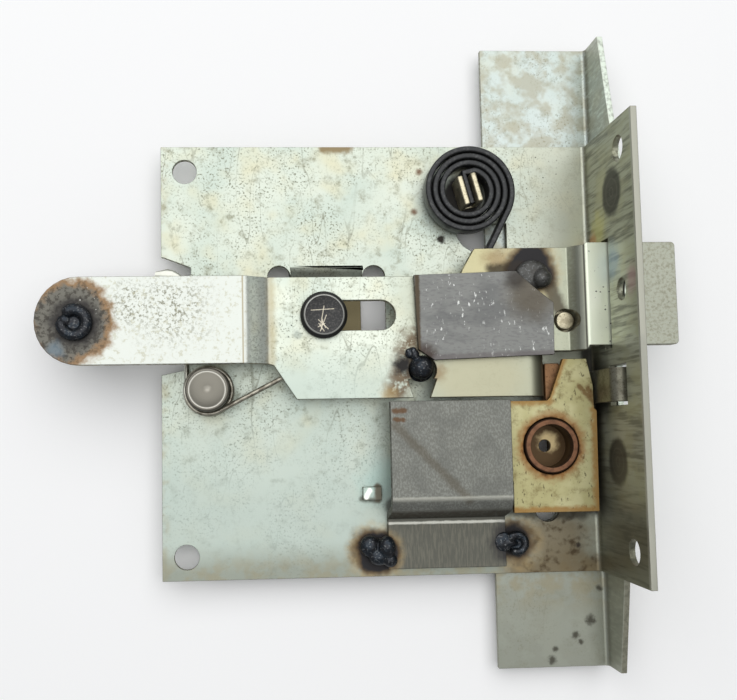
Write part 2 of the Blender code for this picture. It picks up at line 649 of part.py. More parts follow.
part(slide_bar(), ZINC, bolt)
part(latch_bolt(), YELLOW, bolt)
part(connecting_strap(), RAW, bolt)
part(pull_stud(), RAW, bolt)
part(bead("plug_weld", -73.6 * MM, 8.6 * MM, ARM_TOP + GAP, 3.6 * MM, 2.0 * MM), BURNT, bolt)
part(bolt_pin(), BRIGHT, bolt)
part(bead("strap_weld_left", 8.9 * MM, -3.4 * MM, 9.0 * MM, 2.4 * MM, 4.6 * MM), BURNT, bolt)
part(bead("strap_weld_small", 6.1 * MM, 0.2 * MM, SLIDE_TOP + GAP, 1.3 * MM, 1.8 * MM), BURNT, bolt)
part(bead("strap_weld_right", 37.9 * MM, 19.4 * MM, SLIDE_TOP + GAP, 3.2 * MM, 3.6 * MM), BURNT, bolt)

part(hub_sleeve(), RUST, hub)
part(hub_cam(), RUST, hub)
part(hub_retainer(), RAW, hub)
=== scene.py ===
"""The looks of the open-frame rim latch: bevelled sheets, weld beads, springs and their worn finishes.

Lengths in this file are in millimetres of the latch's own frame unless a name says otherwise: +X is the
way the bolt throws, +Y runs along the flange and +Z rises from the base plate's back face.
"""

import math

import bmesh
import bpy
from mathutils import Matrix, Vector, noise

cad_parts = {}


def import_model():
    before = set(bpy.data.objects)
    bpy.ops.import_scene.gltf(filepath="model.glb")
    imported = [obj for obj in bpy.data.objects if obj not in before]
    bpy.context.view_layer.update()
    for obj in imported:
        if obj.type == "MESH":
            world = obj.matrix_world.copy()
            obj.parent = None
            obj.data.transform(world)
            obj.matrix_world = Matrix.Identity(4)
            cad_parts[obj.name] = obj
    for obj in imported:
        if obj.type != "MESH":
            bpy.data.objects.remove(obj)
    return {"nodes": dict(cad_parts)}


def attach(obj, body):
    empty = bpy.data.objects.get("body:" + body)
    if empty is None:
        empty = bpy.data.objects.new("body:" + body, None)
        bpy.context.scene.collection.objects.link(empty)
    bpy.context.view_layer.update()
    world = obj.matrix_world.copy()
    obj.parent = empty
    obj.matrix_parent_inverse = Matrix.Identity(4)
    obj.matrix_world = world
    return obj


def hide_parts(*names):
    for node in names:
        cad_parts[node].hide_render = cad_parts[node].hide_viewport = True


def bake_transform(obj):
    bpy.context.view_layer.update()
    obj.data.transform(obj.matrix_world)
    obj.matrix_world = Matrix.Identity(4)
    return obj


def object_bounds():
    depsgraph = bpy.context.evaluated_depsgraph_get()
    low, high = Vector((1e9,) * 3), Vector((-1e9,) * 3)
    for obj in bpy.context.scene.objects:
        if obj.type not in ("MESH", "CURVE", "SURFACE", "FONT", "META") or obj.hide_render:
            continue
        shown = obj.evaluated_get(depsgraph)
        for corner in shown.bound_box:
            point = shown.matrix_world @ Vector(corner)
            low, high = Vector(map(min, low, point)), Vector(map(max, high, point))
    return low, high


MM = 0.001
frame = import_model()
CAD_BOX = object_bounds()
FLOOR_Z = CAD_BOX[0].z / MM
FLOOR_GAP = 0.02

# Where things stand in plan, as (x, y).
GUIDE = (-14.5, 9.6)
POST = (-42.4, -7.9)
ARBOR = (22.6, 41.2)
HUB = (40.2, -22.6)
PIN = (44.6, 7.8)
STUD = (-72.2, 8.6)
ARM_END = (-74.2, 8.4)
PLUG_WELD = (-73.1, 8.1)
COVER_WELD_LEFT = (-1.7, -47.8)
COVER_WELD_RIGHT = (32.8, -46.4)

# How far the base plate's edges stand from its middle.
PLATE_EDGE = 54.0

# The plane in which a finish measures its spots: the sheets' plan, or the upright flange's face.
PLAN = (1, 1, 0)
FLANGE_PLANE = (0, 1, 1)

# Angles in degrees: facets that count as one flat face, edges that are rounded, edges that stay sharp in
# made and in swept shapes, and the step along an arc.
FLAT_ANGLE = 0.6
BEVEL_ANGLE = 32
SHARP_ANGLE = 35
SWEPT_SHARP_ANGLE = 40
ARC_STEP = 15

WIRE_RADIUS = 0.6
ON_AXIS = 1e-6

FLOOR_HALF = 2000
KEY_PLACE = (-40, 300, 800)
KEY_SIZE = 1350
KEY_WATTS = 9.0
CAMERA_PLACE = (-29.41, -18.76, 225.09)
CAMERA_TURN = (-4.288, 3.018, 0.861)


# ---------------------------------------------------------------- finishes


def rgb(red, green, blue):
    """A colour as seen on a screen, 0 to 255, made linear."""
    def linear(value):
        value /= 255
        return value / 12.92 if value <= 0.04045 else ((value + 0.055) / 1.055) ** 2.4
    return linear(red), linear(green), linear(blue)


class Finish:
    """A procedural finish, built up as masks painted one over another.

    Masks are measured in millimetres of the latch's frame at rest. The plane picks the two axes that a
    spot's distance is measured in.
    """

    def __init__(self, name, colour, roughness, metallic):
        self.material = bpy.data.materials.new(name)
        self.material.use_nodes = True
        self.tree = self.material.node_tree
        self.shader = self.tree.nodes["Principled BSDF"]
        coordinates = self.node("TexCoord")
        self.place = self.node(
            "VectorMath", {0: coordinates.outputs["Object"], "Scale": 1 / MM}, operation="SCALE").outputs[0]
        axes = self.node("SeparateXYZ", [self.place]).outputs
        self.x, self.y, self.z = axes[0], axes[1], axes[2]
        self.facing = self.node("SeparateXYZ", [coordinates.outputs["Normal"]]).outputs
        self.plane = PLAN
        self.colour, self.roughness, self.metallic = colour, roughness, metallic
        self.height = None

    def node(self, kind, inputs=(), **settings):
        made = self.tree.nodes.new("ShaderNode" + kind)
        for key, value in settings.items():
            setattr(made, key, value)
        for key, value in inputs.items() if isinstance(inputs, dict) else enumerate(inputs):
            self.feed(made.inputs[key], value)
        return made

    def feed(self, socket, value):
        if isinstance(value, bpy.types.NodeSocket):
            self.tree.links.new(value, socket)
        elif socket.type == "RGBA":
            socket.default_value = (*value, 1.0)
        else:
            socket.default_value = value

    def math(self, operation, *values):
        return self.node("Math", values, operation=operation).outputs[0]

    def times(self, *values):
        result = values[0]
        for value in values[1:]:
            result = self.math("MULTIPLY", result, value)
        return result

    def either(self, *values):
        result = values[0]
        for value in values[1:]:
            result = self.math("MAXIMUM", result, value)
        return result

    def without(self, value):
        return self.math("SUBTRACT", 1.0, value)

    def fade(self, value, low, high):
        """0 where the value is at low, 1 where it is at high."""
        return self.node("MapRange", [value, low, high], interpolation_type="SMOOTHSTEP").outputs[0]

    def noise(self, size, detail=3.0, stretch=(1, 1, 1), seed=0, roughness=0.55):
        """Noise round 0.5, with features about size mm across."""
        shift = (seed * 17.3, seed * 31.7, seed * 7.9)
        place = self.node("VectorMath", [self.place, stretch, shift], operation="MULTIPLY_ADD").outputs[0]
        made = self.node("TexNoise", {"Vector": place, "Scale": 1 / size, "Detail": detail,
                                      "Roughness": roughness})
        return made.outputs[0]

    def patches(self, low, high, size, detail=3.0, stretch=(1, 1, 1), *, seed, roughness=0.55):
        """Patches about size mm across: 0 where the noise is at low, 1 where it is at high."""
        return self.fade(self.noise(size, detail, stretch, seed, roughness), low, high)

    def specks(self, spacing, share, size, seed):
        """Small uneven dots in a share of the cells, each about size mm across."""
        shift = (seed * 13.1, seed * 5.7, seed * 3.3)
        place = self.node("VectorMath", [self.place, shift], operation="ADD").outputs[0]
        wobble = self.node("TexNoise", {"Vector": place, "Scale": 2.2 / size}).outputs[1]
        warped = self.node(
            "VectorMath", [wobble, (size, size, size), place], operation="MULTIPLY_ADD").outputs[0]
        cell = self.node("TexVoronoi", {"Vector": warped, "Scale": 1 / spacing})
        picked = self.node("SeparateColor", [cell.outputs["Color"]]).outputs
        radius = self.math("MULTIPLY_ADD", picked[1], size / spacing / 2.5, size / spacing / 6)
        dot = self.fade(self.math("SUBTRACT", radius, cell.outputs["Distance"]), 0.0, 0.12)
        return self.times(dot, self.fade(picked[0], 1 - share, 1.001 - share))

    def uneven(self, away, wobble, size, seed):
        """A distance made uneven by up to about the wobble in mm."""
        if not wobble:
            return away
        shake = self.math("SUBTRACT", self.noise(size, seed=seed), 0.5)
        return self.math("MULTIPLY_ADD", shake, 2 * wobble, away)

    def point(self, spot):
        """The point in space of a spot, given by its two coordinates in the finish's plane."""
        return Vector((*spot, 0) if self.plane == PLAN else (0, *spot))

    def distance(self, spot, wobble=0.0, size=3.0, seed=0):
        """Distance in the finish's plane from a spot."""
        offset = self.node("VectorMath", [self.place, self.point(spot)], operation="SUBTRACT").outputs[0]
        flat = self.node("VectorMath", [offset, self.plane], operation="MULTIPLY").outputs[0]
        away = self.node("VectorMath", [flat], operation="LENGTH").outputs["Value"]
        return self.uneven(away, wobble, size, seed)

    def near(self, spot, inner, outer, wobble, size, seed=0):
        """1 within the inner radius of a spot, fading to 0 at the outer radius."""
        return self.fade(self.distance(spot, wobble, size, seed), outer, inner)

    def line(self, start, end, inner, outer, wobble=0.0, size=3.0, seed=0):
        """1 within the inner distance of a straight line between two spots, 0 beyond the outer one."""
        a, b = self.point(start), self.point(end)
        along = (b - a).normalized()
        offset = self.node("VectorMath", [self.place, (a + b) / 2], operation="SUBTRACT").outputs[0]
        flat = self.node("VectorMath", [offset, self.plane], operation="MULTIPLY").outputs[0]
        run = self.node("VectorMath", [flat, along], operation="DOT_PRODUCT").outputs["Value"]
        beyond_end = self.math("SUBTRACT", self.math("ABSOLUTE", run), (b - a).length / 2)
        past = self.math("MAXIMUM", beyond_end, 0.0)
        length = self.node("VectorMath", [flat], operation="LENGTH").outputs["Value"]
        side_squared = self.math("SUBTRACT", self.times(length, length), self.times(run, run))
        side = self.math("SQRT", self.math("MAXIMUM", side_squared, 0.0))
        away = self.math("SQRT", self.math("ADD", self.times(past, past), self.times(side, side)))
        return self.fade(self.uneven(away, wobble, size, seed), outer, inner)

    def mix(self, mask, below, above):
        """A colour or a number over another; the Mix node keeps each kind on sockets of its own."""
        if isinstance(above, tuple):
            return self.node("Mix", {0: mask, 6: below, 7: above}, data_type="RGBA").outputs[2]
        return self.node("Mix", {0: mask, 2: below, 3: above}).outputs[0]

    def paint(self, mask, colour, rough=None, metal=None, share=1.0):
        """Lays a colour, and a roughness and a metalness if given, over the finish where the mask is."""
        if share != 1.0:
            mask = self.times(mask, share)
        self.colour = self.mix(mask, self.colour, colour)
        if rough is not None:
            self.roughness = self.mix(mask, self.roughness, rough)
        if metal is not None:
            self.metallic = self.mix(mask, self.metallic, metal)

    def relief(self, mask, height):
        """Adds a mask as real relief, in mm."""
        raised = self.times(mask, height)
        self.height = raised if self.height is None else self.math("ADD", self.height, raised)

    def grain(self, size, height):
        self.relief(self.noise(size, detail=2.0), height)

    def edges(self, colour, flange=0.0):
        """Sheared edges: every face that stands upright on the sheet, but for a flange's own faces."""
        upright = self.fade(self.math("ABSOLUTE", self.facing[2]), 0.75, 0.35)
        broad = self.fade(self.math("ABSOLUTE", self.facing[0]), 0.8, 0.95)
        upright = self.times(upright, self.without(self.times(broad, flange)))
        torn = self.patches(0.25, 0.6, 0.8, stretch=(1, 1, 0.3), seed=9)
        self.paint(self.times(upright, torn), colour, 0.6)

    def heat(self, spot, core, reach, seed):
        """The colours round a weld: soot out to the core, then brown, then straw out to the reach."""
        band = reach - core
        away = self.distance(spot, reach * 0.22, reach * 0.55, seed)
        blotch = self.patches(0.2, 0.6, 1.6, seed=seed + 3)
        straw = self.fade(away, reach, core + band * 0.35)
        self.paint(self.times(straw, blotch), rgb(176, 154, 110), share=0.5)
        brown = self.fade(away, core + band * 0.62, core + band * 0.15)
        self.paint(brown, rgb(92, 72, 50), 0.6, share=0.85)
        soot = self.fade(away, core + band * 0.28, core)
        self.paint(soot, rgb(38, 36, 38), 0.65, 0.3)

    def done(self):
        self.feed(self.shader.inputs["Base Color"], self.colour)
        self.feed(self.shader.inputs["Roughness"], self.roughness)
        self.feed(self.shader.inputs["Metallic"], self.metallic)
        if self.height is not None:
            bump = self.node("Bump", {"Strength": 1.0, "Distance": MM, "Height": self.height})
            self.feed(self.shader.inputs["Normal"], bump.outputs["Normal"])
        return self.material


PALE = rgb(199, 206, 193)
DARK_SPECK = rgb(58, 58, 50)
OCHRE = rgb(148, 132, 92)
RUST = rgb(122, 78, 44)


def zinc_sheet(finish, specks, cloud):
    """What every plated sheet shares: faint clouds, a fine pepper of dark pits and a soft ripple."""
    finish.paint(finish.patches(0.34, 0.72, 14, 2, seed=1), rgb(176, 190, 180), share=cloud)
    finish.paint(finish.patches(0.44, 0.8, 9, 2, seed=2), rgb(200, 194, 160), share=cloud)
    grime = finish.patches(0.5, 0.78, 3.0, 5.0, seed=10, roughness=0.7)
    finish.paint(grime, rgb(138, 138, 116), 0.5, share=specks * 1.4)
    fine = finish.patches(0.54, 0.7, 0.5, 2.0, seed=4)
    drift = finish.patches(0.3, 0.62, 9, 2.0, seed=5)
    finish.paint(finish.times(fine, drift), rgb(126, 128, 110), 0.55, share=specks * 1.5)
    finish.paint(finish.specks(1.5, 0.22, 0.34, seed=6), DARK_SPECK, 0.7, 0.2, share=0.9)
    finish.paint(finish.specks(4.2, 0.3, 0.7, seed=3), rgb(96, 92, 74), 0.7, 0.2, share=0.8)
    ridge = finish.math("SUBTRACT", finish.noise(6, 1.0, stretch=(1.0, 0.16, 1), seed=16), 0.5)
    hair = finish.fade(finish.math("ABSOLUTE", ridge), 0.006, 0.001)
    finish.paint(finish.times(hair, drift), rgb(140, 142, 126), 0.5, share=specks)
    finish.relief(finish.noise(22, 1.0, seed=7), 0.25)
    finish.grain(0.5, 0.006)


def plate_finish():
    """The base plate: pale zinc, soiled by place and with painted shade and a painted glint, the coined
    stop, the burns and the flange.
    """
    finish = Finish("plate_zinc", PALE, 0.4, 0.72)
    zinc_sheet(finish, 0.65, 0.65)
    # Painted shade: the plate grows darker towards -Y, where the light falls off.
    finish.paint(finish.fade(finish.y, 4, -38), rgb(172, 184, 176), share=0.8)
    finish.paint(finish.fade(finish.x, 24, 50), rgb(186, 188, 172), share=0.7)
    crowd = finish.either(
        finish.near((38, 44), 4, 18, 4, 6, 11), finish.near((17, 31), 1, 5, 2, 3, 12),
        finish.near((9, 44), 2, 7, 3, 4, 13))
    pepper = finish.specks(0.9, 0.5, 0.42, seed=8)
    finish.paint(finish.times(pepper, crowd), DARK_SPECK, 0.7, 0.2, share=0.9)
    finish.paint(finish.near((16.4, 30.1), 0.5, 1.5, 0.8, 0.8), rgb(44, 40, 30), 0.6, 0.2)
    for x, y in ((11.2, 47.5), (9.7, 37.1)):
        finish.paint(finish.near((x, y), 0.1, 1.3, 0.5, 0.8), RUST, 0.7, 0.2, share=0.8)
    finish.paint(finish.near((0, -30), 1, 9, 4, 6, 14), rgb(166, 198, 192), share=0.5)
    # Painted shade with soil: the plate dark inside the clock spring's coil round the arbor.
    finish.paint(finish.near(ARBOR, 4.4, 6.4, 0.5, 1), rgb(34, 31, 28), 0.6, 0.2)
    # Painted shade: the lowered tongue under the slide, painted darker and browner.
    tongue_shade = finish.times(finish.fade(finish.z, -0.6, -2.0), finish.fade(finish.facing[2], 0.4, 0.8))
    finish.paint(tongue_shade, rgb(132, 122, 92), 0.5)
    # Painted shadow along the coined stop's foot, painted shade on its right side and a painted glint on its
    # top.
    stop_foot_shadow = finish.line((-5.2, -35.0), (-1.4, -35.4), 0.2, 1.1, 0.4, 1)
    finish.paint(stop_foot_shadow, rgb(84, 82, 70), 0.5, share=0.7)
    stop_side_shade = finish.line((-1.2, -35.0), (-1.2, -32.2), 0.5, 1.4, 0.4, 1, 19)
    finish.paint(stop_side_shade, rgb(112, 108, 94), 0.5)
    stop_glint = finish.line((-4.3, -34.4), (-3.4, -32.8), 0.3, 0.9, 0.3, 1, 20)
    finish.paint(stop_glint, rgb(240, 242, 232), 0.3)
    finish.paint(finish.fade(finish.y, -44, -53), rgb(138, 142, 130), share=0.8)
    edge = finish.either(
        finish.fade(finish.y, -45, -PLATE_EDGE),
        finish.line((-PLATE_EDGE, PLATE_EDGE), (-PLATE_EDGE, 26), 0.2, 2.2, 1.2, 2),
        finish.line((-PLATE_EDGE, -4), (-PLATE_EDGE, -PLATE_EDGE), 0.2, 2.2, 1.2, 2, 3))
    finish.paint(finish.times(edge, finish.patches(0.4, 0.62, 4, 3, seed=15)), OCHRE, share=0.35)
    top_rust = finish.line((-13, 53.6), (-7, 53.6), 0.3, 2.0, 1.0, 1.5)
    finish.paint(top_rust, rgb(150, 126, 80), 0.7, 0.2, share=0.85)
    burnt = finish.either(
        finish.near((44, -47), 4, 13, 4, 5, 16), finish.line((34, -53), (52, -53), 1, 5, 2, 4),
        finish.near((-4.5, -47), 2, 6, 2, 3, 17))
    finish.paint(burnt, rgb(120, 102, 70), 0.55, share=0.75)
    finish.paint(finish.times(burnt, finish.patches(0.48, 0.7, 2.4, 4, seed=18)), rgb(74, 58, 38), 0.6,
                 share=0.8)
    finish.paint(finish.near((48.8, -47.5), 0.2, 1.1, 0.6, 0.8), rgb(58, 50, 40), 0.7, 0.2)
    finish.heat(COVER_WELD_LEFT, 4.3, 8.5, seed=21)
    finish.heat(COVER_WELD_RIGHT, 3.4, 8.5, seed=22)
    # Painted shade along the foot of the flange, in the narrow gap beside the hub case.
    gap_shade = finish.line((53.4, 0), (53.4, -38), 1.2, 3.4, 1.2, 2, 25)
    finish.paint(gap_shade, rgb(40, 36, 28), 0.65, 0.2, share=0.9)
    # Painted shadow on the plate along the foot of the cover and the hub case.
    cover_foot_shadow = finish.line((2, -36.8), (50, -39.6), 0.8, 2.4, 0.8, 2, 26)
    finish.paint(cover_foot_shadow, rgb(52, 46, 36), 0.6, share=0.7)
    flange = flange_marks(finish)
    finish.edges(rgb(128, 122, 104), flange=flange)
    return finish.done()


def flange_marks(finish):
    """The plate's flange: olive zinc painted darker as shade, with rainbow bands, upright streaks, stains,
    painted shade low down and below the lug, and a painted highlight along its top rim. Returns its mask.
    """
    flange = finish.times(finish.fade(finish.x, 53.6, 54.3), finish.fade(finish.z, 1.4, 3.4))
    # Olive tone and painted shade: the upright flange painted darker than the plate.
    finish.paint(flange, rgb(162, 164, 144), 0.36)
    streak = finish.patches(0.4, 0.66, 0.9, 3, stretch=(1, 1, 0.08), seed=23)
    finish.paint(finish.times(flange, streak), rgb(74, 74, 60), 0.45, share=0.7)
    finish.paint(finish.times(flange, finish.patches(0.46, 0.62, 5, 3, stretch=(1, 1, 0.6), seed=24)),
                 rgb(150, 150, 122), 0.3, share=0.6)
    finish.plane = FLANGE_PLANE
    bands = (((30.5, 9), 7, rgb(196, 190, 112)), ((28, 5), 4, rgb(190, 128, 74)),
             ((21, 17), 7, rgb(104, 128, 150)), ((15, 28), 5, rgb(166, 126, 132)),
             ((40, 12), 6, rgb(168, 166, 132)))
    for spot, reach, colour in bands:
        band = finish.near(spot, reach * 0.2, reach, reach * 0.35, 3)
        finish.paint(finish.times(flange, band), colour, share=0.65)
    for stain in ((37.6, 18.2), (-26.6, 15.5)):
        away = finish.distance(stain, 0.6, 3)
        finish.paint(finish.times(flange, finish.fade(away, 6.6, 4.6)), rgb(46, 44, 38), 0.5, share=0.9)
        ring = finish.math("PINGPONG", away, 1.1)
        finish.paint(finish.times(flange, finish.fade(away, 6, 4), finish.fade(ring, 0.7, 1.1)),
                     rgb(92, 90, 80), share=0.6)
    # Painted shade on the flange below the lug.
    soot = finish.fade(finish.distance((-9, 6), 2.5, 5), 11, 4)
    finish.paint(finish.times(flange, soot), rgb(40, 38, 32), 0.6, share=0.8)
    finish.paint(finish.times(flange, finish.fade(finish.y, -22, -40)), rgb(88, 86, 70), share=0.7)
    # Painted shade low on the flange, behind the lug and the hub case.
    low_shade = finish.times(
        finish.fade(finish.z, 9, 3), finish.fade(finish.y, 4, -4), finish.fade(finish.y, -46, -34))
    finish.paint(finish.times(flange, low_shade), rgb(36, 33, 26), 0.65, share=0.85)
    # Painted highlight along the flange's top rim.
    rim = finish.times(flange, finish.fade(finish.z, 29.6, 30.7))
    finish.paint(rim, rgb(158, 158, 146), 0.35)
    finish.plane = PLAN
    return flange


def angle_finish():
    """The mounting angle: whiter zinc, soiled and pitted at its lower end."""
    finish = Finish("angle_zinc", rgb(196, 206, 202), 0.42, 0.7)
    zinc_sheet(finish, 0.4, 0.25)
    lower = finish.fade(finish.y, -40, -60)
    finish.paint(lower, rgb(136, 136, 120), share=0.8)
    finish.paint(finish.times(lower, finish.patches(0.45, 0.62, 6, 3, seed=31)), rgb(160, 164, 152),
                 share=0.4)
    finish.paint(finish.times(finish.fade(finish.y, -66, -56), finish.patches(0.4, 0.6, 5, 3, seed=33)),
                 rgb(150, 138, 104), share=0.5)
    pits = ((41.8, -75.9, 1.2), (42.7, -73.2, 0.8), (47.9, -69.9, 1.0),
            (51.8, -66.3, 1.4), (54.4, -58.5, 0.9), (49.2, -71.6, 0.7))
    for index, (x, y, reach) in enumerate(pits):
        finish.paint(finish.near((x, y), reach * 0.3, reach * 1.3, reach * 0.7, 0.9, index),
                     rgb(64, 60, 48), 0.7, 0.3, share=0.85)
    flange = finish.times(finish.fade(finish.x, 55.7, 56.4), finish.fade(finish.z, 0.5, 3))
    finish.paint(flange, rgb(226, 236, 222), 0.4, share=0.9)
    finish.paint(finish.times(flange, finish.fade(finish.y, -30, -56)), rgb(150, 146, 126), share=0.9)
    streak = finish.patches(0.42, 0.66, 1.1, 3, stretch=(1, 1, 0.08), seed=34)
    finish.paint(finish.times(flange, streak), rgb(104, 106, 92), share=0.5)
    finish.edges(rgb(150, 150, 136), flange=flange)
    return finish.done()


def slide_finish():
    """The slide bar: pale zinc, duller towards the bolt."""
    finish = Finish("slide_zinc", rgb(216, 222, 208), 0.42, 0.72)
    zinc_sheet(finish, 0.55, 0.5)
    finish.paint(finish.fade(finish.y, 4, -8), rgb(184, 196, 186), share=0.8)
    finish.paint(finish.fade(finish.x, -2, 14), rgb(172, 174, 152), share=0.9)
    arm_marks(finish)
    slide_marks(finish)
    # Painted shade on the faces that look down.
    finish.paint(finish.fade(finish.facing[2], -0.2, -0.7), rgb(150, 150, 136), 0.5)
    finish.edges(rgb(132, 122, 96))
    return finish.done()


def arm_marks(finish):
    """The pull arm: bright, scuffed most in the middle of its length, with a painted highlight and painted
    shade where it steps down.
    """
    arm = finish.fade(finish.x, -31.5, -33.5)
    finish.paint(arm, rgb(200, 204, 197), 0.32)
    scuffed = finish.either(finish.near((-50, 11), 2, 13, 4, 6, 41), finish.near((-60, 12), 1, 9, 4, 5, 42))
    flakes = finish.patches(0.5, 0.62, 0.75, 4, seed=43, roughness=0.7)
    finish.paint(finish.times(arm, flakes, scuffed), rgb(120, 118, 96), 0.55, share=0.8)
    light = finish.patches(0.54, 0.64, 1.1, 4, seed=44, roughness=0.7)
    finish.paint(finish.times(arm, light), rgb(178, 176, 152), 0.5, share=0.55)
    finish.paint(finish.line((-33.8, 20), (-33.8, -3), 0.05, 0.3), rgb(150, 138, 110), share=0.8)
    # Painted highlight on the step down; the painted shade below darkens its right part.
    slope_highlight = finish.times(finish.fade(finish.x, -31.5, -28.2), finish.fade(finish.x, -26.9, -27.9))
    finish.paint(slope_highlight, rgb(216, 222, 214), 0.4, share=0.85)
    shaded = finish.times(finish.fade(finish.x, -31.4, -29.0), finish.fade(finish.x, -27.2, -28.2))
    finish.paint(shaded, rgb(112, 114, 104), 0.45, share=0.4)
    step = finish.times(finish.fade(finish.x, -33.6, -31), finish.fade(finish.x, -27, -28.5))
    step_specks = finish.times(step, finish.patches(0.5, 0.6, 0.6, 3, seed=45))
    finish.paint(step_specks, rgb(110, 112, 102), share=0.35)
    finish.paint(finish.line((-27.2, 19), (-27.2, -2), 0.2, 1.8, 0.8, 2), rgb(160, 144, 100), share=0.5)
    pits = finish.times(finish.specks(1.0, 0.5, 0.5, seed=46), finish.near((-24.5, 7), 1.5, 6.5, 1, 3, 47))
    finish.paint(pits, rgb(34, 34, 30), 0.7, 0.2)
    finish.paint(finish.near((-20.7, 5), 0.3, 1.6, 0.8, 1.5, 48), rgb(120, 130, 124), share=0.5)
    away = finish.distance(ARM_END, 2.6, 2.6, 51)
    finish.paint(finish.fade(away, 11.6, 9.4), rgb(140, 106, 66), 0.55, share=0.9)
    finish.paint(finish.fade(away, 9.6, 7.6), rgb(112, 110, 102), 0.5)
    mottle = finish.patches(0.46, 0.6, 1.3, 4, seed=58, roughness=0.7)
    finish.paint(finish.times(finish.fade(away, 10.4, 8.4), mottle), rgb(62, 58, 52), 0.55, share=0.75)
    finish.paint(finish.near(PLUG_WELD, 4.4, 7.4, 1.8, 2.0, 59), rgb(48, 46, 46), 0.55, share=0.85)
    finish.paint(finish.near((-77.6, 1.6), 0.6, 3.2, 1.2, 2, 60), rgb(104, 120, 130), 0.4, share=0.7)
    pale = finish.times(finish.near((-69.6, 13.6), 1, 4.4, 1, 2, 66), finish.specks(0.9, 0.5, 0.5, seed=67))
    finish.paint(pale, rgb(226, 226, 220), 0.3)


def slide_marks(finish):
    """The slide: the burn round its keyhole, the soil towards the bolt, and painted shade at its right end.
    """
    burn = finish.line((6.5, 3.5), (3.2, -8.5), 0.6, 4.6, 2.4, 3.2, 52)
    finish.paint(finish.times(burn, finish.patches(0.25, 0.55, 1.1, 3, seed=53)),
                 rgb(104, 78, 50), 0.6, share=0.85)
    finish.paint(finish.near((4.6, -2.6), 0.8, 3.8, 1.8, 1.4, 54), rgb(30, 27, 25), 0.6, 0.3)
    finish.paint(finish.near((12.8, -4.6), 0.5, 3.2, 1.2, 1.6, 55), rgb(120, 88, 52), share=0.8)
    finish.paint(finish.near((1.0, -9.6), 0.4, 3.4, 1.2, 1.8, 56), rgb(170, 146, 100), share=0.6)
    finish.paint(finish.near((24, -6), 6, 16, 4, 8, 57), rgb(178, 172, 142), share=0.55)
    # Painted shade: the slide darker at its right end, where it runs under the strap and the bolt.
    finish.paint(finish.fade(finish.x, 34.5, 38.4), rgb(52, 46, 34), share=0.7)


def bolt_finish():
    """The latch bolt: straw-coloured zinc, burnt round its weld, with painted shade where it bends up,
    greyer outside the flange.
    """
    finish = Finish("bolt_zinc", rgb(178, 176, 142), 0.42, 0.7)
    zinc_sheet(finish, 0.5, 0.5)
    finish.paint(finish.fade(finish.x, 34, 24), rgb(192, 184, 142), share=0.8)
    finish.paint(finish.near((28.0, 22.8), 0.8, 5.0, 1.6, 2, 61), rgb(140, 112, 74), share=0.6)
    finish.paint(finish.fade(finish.x, 38.5, 42.6), rgb(184, 188, 168), share=0.85)
    finish.heat((36.4, 20.6), 4.6, 9.4, seed=62)
    finish.paint(finish.line((27, 20.4), (34, 21), 0.6, 2.4, 1.0, 2, 69), rgb(46, 38, 30), 0.6, share=0.8)
    finish.paint(finish.line((41.0, 16.4), (43.2, 10.2), 0.8, 2.8, 0.8, 2, 63), rgb(72, 62, 48), share=0.85)
    # Painted shade on the joggle where the bolt bends up, and a dark painted line in the bend's crease.
    joggle_shade = finish.times(finish.fade(finish.x, 45.6, 47.4), finish.fade(finish.x, 49.2, 47.9))
    finish.paint(joggle_shade, rgb(112, 114, 106), share=0.8)
    finish.paint(finish.line((48.6, 27), (48.6, 0), 0.1, 0.35), rgb(54, 52, 46), share=0.9)
    head = finish.fade(finish.x, 48.6, 49.3)
    finish.paint(head, rgb(232, 238, 220), 0.34)
    finish.paint(finish.times(head, finish.specks(1.1, 0.4, 0.5, seed=64)), rgb(70, 70, 60), 0.6, 0.3)
    outside = finish.fade(finish.x, 54.6, 56.5)
    finish.paint(outside, rgb(156, 158, 144), 0.42, share=0.9)
    worn = finish.patches(0.42, 0.7, 0.7, 4, seed=65, roughness=0.7)
    finish.paint(finish.times(outside, worn), rgb(128, 126, 106), share=0.75)
    pits = finish.times(outside, finish.specks(1.2, 0.5, 0.4, seed=68))
    finish.paint(pits, rgb(84, 82, 68), 0.6, share=0.8)
    finish.edges(rgb(112, 108, 90))
    return finish.done()


